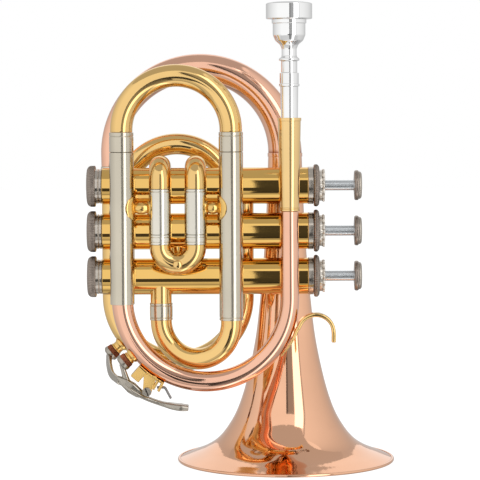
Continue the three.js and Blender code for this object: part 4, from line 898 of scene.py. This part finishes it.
# Water key. Cups: the bow that each stands on, its radius, the place on it, the nipple's reach, and y.
CUPS = {
    "front": (PIPE_BOW, PIPE_BOW_RADIUS, -0.3956, 1.9, FRONT),
    "rear": (TAIL_BOW, TAIL_BOW_RADIUS, -0.3889, 3.4, BACK),
}
NIPPLE_FOOT = ((2.6, -1.6), (4.4, -1.6), (4.1, -0.2), (3.3, 0.7))
# outlines from the nipple's end
NIPPLE_END = ((3.3, -0.9), (3.7, -0.6), (3.7, 0), (2.6, 0))
CORK = softened(((0, 0.3), (4, 0.3), (4.15, 1.8), (4.2, 3.3), (0, 3.3)), 0.4)
CUP = softened(((0, 3.4), (4.1, 3.4), (4.1, 2.7), (4.5, 2.7), (4.5, 4.4), (3.2, 5.5), (0, 5.6)), 0.3)
CUP_MIDDLE = 4.8
PIVOT = Vector((-77.106, FRONT, 45.702))
LEVER_BOW, LEVER_RADIUS, LEVER_STEPS = (-52, 98.2), 62, 16
LEVER_START, LEVER_END, REAR_ARM_TURN = -0.363, -0.2563, -0.361
FRONT_ARM = ((-88.2, FRONT, 49.8), (-89.2, FRONT, 54), (-90.2, FRONT, 57.6))
WEB = (
    (-93.4, FRONT, 53.4), (-90.6, FRONT, 51.4), (-86.5, FRONT, 48.1), (-81.6, FRONT, 44.5),
    (-77.2, FRONT, 42.6),
)
REAR_ARM = ((-97.2, -3.7, 53), (-99.8, 13.2, 57))
HUB, HUB_NECK, HUB_SIDES = (1.4, 2.6, -2.5, 2.5), ((4.8,), (4,)), 40
SADDLE_WIDTH, SADDLE_THICKNESS = 9.2, 1.5
SADDLE_ARC = (PIPE_BOW, PIPE_BOW_RADIUS - 0.1, -0.375, -0.329, 10)
# blocks on the saddle: place in turns, height, width
SADDLE_BLOCKS = ((-0.3665, 7, 5.6), (-0.335, 5.6, 1.5), (-0.3265, 5.2, 1.5))
BLOCK_FOOT, CHEEK_FOOT, CHEEK_TURN, CHEEK_OFFSET = -0.8, -0.4, -0.351, 3.7
CHEEK_SIZES = ((1.7,), (7.4, 6.6, 5.4, 4.6))
EYE_INNER, EYE_OUTER, EYE_HALF_WIDTH = 1.4, 2.6, 0.85
SPRING_TURN, SPRING_HEIGHT, SPRING_RUN, SPRING_DROP = -0.331, 4, (4.4, 0, 0), (3.3, 0, -6.2)
SPRING_BEND, SPRING_STEPS, SPRING_SIZES = 1.6, 8, ((2.6,), (1.25,))
PIVOT_PIN = ((0, -5.5), (2.5, -5.5), (2.5, -4.9), (1.1, -4.9), (1.1, 4.6), (0, 4.6))
SCREW_RADIUS, SCREW_STEPS, SCREW_START, SCREW_SPAN, SCREW_TILT = 2.4, 20, 8, 164, -22
SCREW_RINGS = ((-5.45, 1), (-5.9, 1), (-6.1, 0.92))
SLOT_HALF, SLOT_SIDE, SLOT_REACH, SLOT_DEPTH, SLOT_SIZES = 0.36, 0.4, 2.25, -5.5, ((0.5,), (0.66,))

cup_middles = {}
lever = Shape()
for side, (bow, radius, turns, reach, y) in CUPS.items():
    foot, head = on_circle(bow, radius, turns, y), on_circle(bow, radius + reach, turns, y)
    spun = {"axis": axes_along(head - foot), "sides": SMALL_SIDES}
    nipple = softened([*NIPPLE_FOOT, *((size, reach + step) for size, step in NIPPLE_END)], 0.25)
    turned(Shape(), nipple, foot, **spun).piece(
        f"nipple_{side}_fine", fitting_brass, f"water_key_nipple_{side}")
    turned(Shape(), CORK, head, **spun).piece(
        f"cork_{side}_fine", cork, f"water_key_cork_{side}", "water_key_body")
    turned(lever, CUP, head, **spun)
    cup_middles[side] = on_circle(bow, radius + reach + CUP_MIDDLE, turns, y)

lever_points = round_circle(LEVER_BOW, LEVER_RADIUS, LEVER_START, LEVER_END, LEVER_STEPS)
rear_start = on_circle(LEVER_BOW, LEVER_RADIUS, REAR_ARM_TURN)
# strips of the lever: points, steps between them, widths, thicknesses, rounding, and way across
lever_strips = (
    (lever_points, 3, (4.2, 6.4, 8, 8, 7.4, 6.6, 6.2, 6.6, 8.6, 9.6, 8),
     (2, 2.2, 2.3, 2.3, 2.2, 2.2, 2.5, 3.3, 3.6, 3), 1.3, (0, 1, 0)),
    ((*FRONT_ARM, cup_middles["front"]), 6, (4.4, 3.8, 3.6, 3.6), (4.6, 3.4, 2.8, 2.8), 1.2, (0, 1, 0)),
    (WEB, 8, (4, 6, 6.4, 5, 4), (1.8, 4.8, 6.2, 5.2, 1.6), 1.2, (0, 1, 0)),
    ((rear_start, *REAR_ARM, cup_middles["rear"]), 8, (3.6, 3.8, 4, 3.8), (3.4, 2.6, 2.6, 3.2), 1,
     (0.4, 0, 1)),
)
for points, steps, widths, thicknesses, corner, across in lever_strips:
    slab(lever, smooth_path(points, steps), widths, thicknesses, across, corner)
lever_middle = Vector((LEVER_BOW[0], FRONT, LEVER_BOW[1]))
above_hub = lever_middle + (PIVOT - lever_middle).normalized() * LEVER_RADIUS
slab(lever, straight(PIVOT, above_hub), *HUB_NECK, corner=0.7)
turned(lever, ring_outline(*HUB, soft=0.3), PIVOT, axis="Y", sides=HUB_SIDES)
lever.piece("lever_fine", key_silver, "water_key_lever", "water_key_body")


def on_pipe(turns, reach):
    """A place on the leadpipe's bow, that far out from its middle line."""
    return on_circle(PIPE_BOW, PIPE_BOW_RADIUS + reach, turns)


saddle = Shape()
slab(saddle, facing(round_circle(*SADDLE_ARC)), [SADDLE_WIDTH], [SADDLE_THICKNESS], corner=0.5)
for turns, reach, width in SADDLE_BLOCKS:
    block = straight(on_pipe(turns, BLOCK_FOOT), on_pipe(turns, reach))
    slab(saddle, block, [SADDLE_WIDTH], [width], corner=0.45)
for middle in (-CHEEK_OFFSET, CHEEK_OFFSET):
    offset = Vector((0, middle, 0))
    cheek = straight(on_pipe(CHEEK_TURN, CHEEK_FOOT) + offset, PIVOT + offset)
    slab(saddle, cheek, *CHEEK_SIZES, corner=0.5)
    eye = ring_outline(EYE_INNER, EYE_OUTER, middle - EYE_HALF_WIDTH, middle + EYE_HALF_WIDTH, 0.25)
    turned(saddle, eye, PIVOT, axis="Y", sides=HUB_SIDES)
saddle.piece("saddle_fine", fitting_brass, "water_key_saddle")

spring_foot = on_pipe(SPRING_TURN, SPRING_HEIGHT)
spring_knee = spring_foot + Vector(SPRING_RUN)
spring_corners = [spring_foot, spring_knee, spring_knee + Vector(SPRING_DROP)]
spring_path = bent_path(spring_corners, [SPRING_BEND], SPRING_STEPS)
spring = Shape()
slab(spring, spring_path, *SPRING_SIZES, corner=0.35)
spring.piece("key_spring", key_steel)

pivot = Shape()
turned(pivot, softened(PIVOT_PIN, 0.15), PIVOT, axis="Y", sides=SMALL_SIDES)
tilt = Matrix.Rotation(radians(SCREW_TILT), 3, "Y")
for sign in (-1, 1):
    half = []
    for k in range(SCREW_STEPS + 1):
        angle = radians(SCREW_START + SCREW_SPAN * k / SCREW_STEPS)
        half.append((SCREW_RADIUS * cos(angle), sign * max(SCREW_RADIUS * sin(angle), SLOT_HALF)))
    rings = []
    for depth, share in SCREW_RINGS:
        rings.append([
            PIVOT + tilt @ Vector((side * (share if abs(side) > SLOT_SIDE else 1), depth, along * share))
            for along, side in half
        ])
    pivot.rings(rings, capped=True)
pivot.piece("pivot_fine", key_silver, "water_key_pivot")
# The screw slot holds a dark bar: painted shade in the slot
slot_way = tilt @ Vector((0, 0, SLOT_REACH))
slot_middle = PIVOT + Vector((0, SLOT_DEPTH, 0))
slot = Shape()
slab(slot, straight(slot_middle - slot_way, slot_middle + slot_way), *SLOT_SIZES, corner=0.1)
slot.piece("pivot_slot", slot_shade)

# Studio: white floor and walls, one soft lamp, and the light and dark shapes that polished metal shows
DAYLIGHT = 0.75
# corners in metres
FLOOR = ((-4, -4, 0), (4, -4, 0), (4, 4, 0), (-4, 4, 0))
FLOOR_GREY, FLOOR_LEVEL = (0.3, 0.3, 0.3, 1), 0.86
WHITE = (1, 1, 1, 1)


def background_rays(nodes):
    """One for the rays that show the white background: those of the eye, of metal and of glass."""
    path = nodes.add("LightPath")
    found = path.outputs["Is Camera Ray"]
    for name in ("Is Glossy Ray", "Is Transmission Ray"):
        either = nodes.add("Math", {0: found, 1: path.outputs[name]}, operation="MAXIMUM")
        found = either.outputs["Value"]
    return found


def sheet(name, points, faces):
    """A sheet of the studio, and the nodes of its material, which are still to be added."""
    mesh = bpy.data.meshes.new(name)
    mesh.from_pydata(points, [], faces)
    material = bpy.data.materials.new(name)
    mesh.materials.append(material)
    return added(name, mesh), Nodes(material, cleared=True)


floor, nodes = sheet("studio_floor", FLOOR, [(0, 1, 2, 3)])
paint = nodes.add("BsdfDiffuse", {"Color": FLOOR_GREY})
level = nodes.add("Math", {0: background_rays(nodes), 1: FLOOR_LEVEL}, operation="MULTIPLY")
white = nodes.add("Emission", {"Strength": level.outputs["Value"]})
both = nodes.add("AddShader", {0: paint.outputs["BSDF"], 1: white.outputs["Emission"]})
nodes.add("OutputMaterial", {"Surface": both.outputs["Shader"]})
floor.visible_glossy = False


def spread(ends):
    """Values from one end to the other, about a degree apart."""
    count = round(ends[1] - ends[0])
    return [ends[0] + (ends[1] - ends[0]) * i / count for i in range(count + 1)]


def way_to(turn, height):
    """The way to a place on a ball round the trumpet, by degrees from the front and above the floor."""
    turn, height = radians(turn), radians(height)
    return Vector((sin(turn) * cos(height), -cos(turn) * cos(height), sin(height)))


def panel(name, turns, heights, distance, level, shown=lambda way: True):
    """Part of the ball, that only polished metal sees."""
    places = [(turn, height) for height in spread(heights) for turn in spread(turns)]
    points = [way_to(*place) for place in places]
    width = len(spread(turns))
    faces = []
    for corner in range(len(points) - width):
        face = (corner, corner + 1, corner + width + 1, corner + width)
        ends_row = (corner + 1) % width == 0
        if not ends_row and shown(sum((points[index] for index in face), Vector()) / len(face)):
            faces.append(face)
    made, nodes = sheet(name, [point * distance for point in points], faces)
    values = made.data.attributes.new("level", "FLOAT", "POINT")
    values.data.foreach_set("value", [level(*place) for place in places])
    made.active_material.cycles.emission_sampling = "NONE"
    stored = nodes.add("Attribute", attribute_name="level")
    glow = nodes.add("Emission", {"Strength": stored.outputs["Fac"]})
    nodes.add("OutputMaterial", {"Surface": glow.outputs["Emission"]})
    for ray in ("camera", "diffuse", "transmission", "shadow"):
        setattr(made, f"visible_{ray}", False)


def between(table, value):
    """A table of points, read along straight lines between them."""
    for (start, first), (end, last) in zip(table, table[1:]):
        if value <= end:
            return first + (last - first) * max(0, value - start) / (end - start)
    return table[-1][1]


# Brightness of the panels, where 1 is white: by degrees from the front, and by degrees above the floor
WALL_BY_TURN = (
    (-60, 0.98), (22, 1), (24, 2.3), (45, 2.3), (47, 0.45), (49, 0.45), (51, 0.92), (75, 0.88), (105, 0.78),
    (150, 0.56), (180, 0.62), (210, 0.56), (242, 0.72), (265, 0.83), (300, 0.98),
)
WALL_BY_HEIGHT = (
    (-90, 0.55), (-80, 0.62), (-75, 0.98), (-58, 0.98), (-54, 0.42), (-50, 0.4), (-46, 0.66), (-37, 0.62),
    (-33, 0.8), (-8, 0.95), (0, 1), (90, 1),
)
CARD_BY_TURN = ((0, 0.07), (3, 0.07), (6, 0.37), (21, 0.39), (23.5, 1))
CARD_LEVEL, CEILING_LEVEL = 0.07, 0.52
WALL_DISTANCE, CARD_DISTANCE = 30, 28
BACKDROP_TILT, BACKDROP_PLACE = 0.52, 1.04
CEILING_TILT, CEILING_PLACE, CEILING_SIDE = 0.07, 0.715, 0.42


def wall_level(turn, height):
    return between(WALL_BY_TURN, turn) * between(WALL_BY_HEIGHT, height)


def side_level(turn, height):
    return wall_level(turn, height) * between(CARD_BY_TURN, turn)


def low_level(turn, height):
    return wall_level(turn, height) * CARD_LEVEL


def walled(way):
    """Short of the opening behind the trumpet."""
    return way.y + BACKDROP_TILT * way.z <= BACKDROP_PLACE


def under_ceiling(way):
    return way.z + CEILING_TILT * way.y < CEILING_PLACE or way.x > CEILING_SIDE


# panels: ends in degrees from the front and above the floor, distance in metres, brightness, where shown
PANELS = {
    "panel_walls": (
        (47, 300), (-90, 60), WALL_DISTANCE, wall_level, lambda way: walled(way) and under_ceiling(way)),
    "panel_key": ((22, 47), (-90, 50), WALL_DISTANCE, wall_level),
    "panel_low": ((-60, 22), (-90, -33), WALL_DISTANCE, wall_level),
    "panel_ceiling": (
        (-180, 180), (36, 90), WALL_DISTANCE, lambda turn, height: CEILING_LEVEL,
        lambda way: walled(way) and not under_ceiling(way)),
    "card_side": ((0.44, 23.5), (-46, 36), CARD_DISTANCE, side_level),
    "card_low": ((-12.5, 15), (-31.5, -10.5), CARD_DISTANCE, low_level),
}
for name, placing in PANELS.items():
    panel(name, *placing)

# World: white to the eye, in metal and through glass, and plain daylight on what is not metal
world = bpy.data.worlds.new("studio")
bpy.context.scene.world = world
nodes = Nodes(world, cleared=True)
level = nodes.add("MapRange", {"Value": background_rays(nodes), "To Min": DAYLIGHT, "To Max": 1})
white = nodes.add("Background", {"Color": WHITE, "Strength": level.outputs["Result"]})
nodes.add("OutputWorld", {"Surface": white.outputs["Background"]})

# Lamp, in metres and watts
LAMP_SIZE, LAMP_POWER, LAMP_PLACE, LAMP_AIM = 0.9, 9, Vector((-0.35, -0.55, 1.25)), Vector((0, 0, 0.1))

lamp = bpy.data.lights.new("soft_lamp", "AREA")
lamp.size = LAMP_SIZE
lamp.energy = LAMP_POWER
lamp_object = added("soft_lamp", lamp)
lamp_object.location = LAMP_PLACE
lamp_object.rotation_euler = (LAMP_AIM - LAMP_PLACE).to_track_quat("-Z", "Y").to_euler()
lamp_object.visible_glossy = False

# Camera, at the height and distance that the photograph's perspective asks for. It sees 20 metres far.
CAMERA_DISTANCE, CAMERA_DROP, CAMERA_ROLL = 1195, 3.55, -0.25
CAMERA_AIM = (-25.7, 0, 127.5)
SENSOR_WIDTH, FOCAL_SHARE, FAR_END = 36, 2150 / 480, 20

camera = bpy.data.cameras.new("camera")
camera.sensor_width = SENSOR_WIDTH
camera.lens = SENSOR_WIDTH * FOCAL_SHARE
camera.clip_end = FAR_END
camera_object = added("camera", camera)
drop = radians(CAMERA_DROP)
back = Vector((0, -cos(drop), sin(drop))) * CAMERA_DISTANCE * MM
camera_object.location = to_frame(CAMERA_AIM) + back
look = Euler((radians(90) - drop, 0, 0)).to_matrix() @ Matrix.Rotation(radians(CAMERA_ROLL), 3, "Z")
camera_object.rotation_euler = look.to_euler()
bpy.context.scene.camera = camera_object
bpy.context.scene.view_settings.view_transform = "Standard"
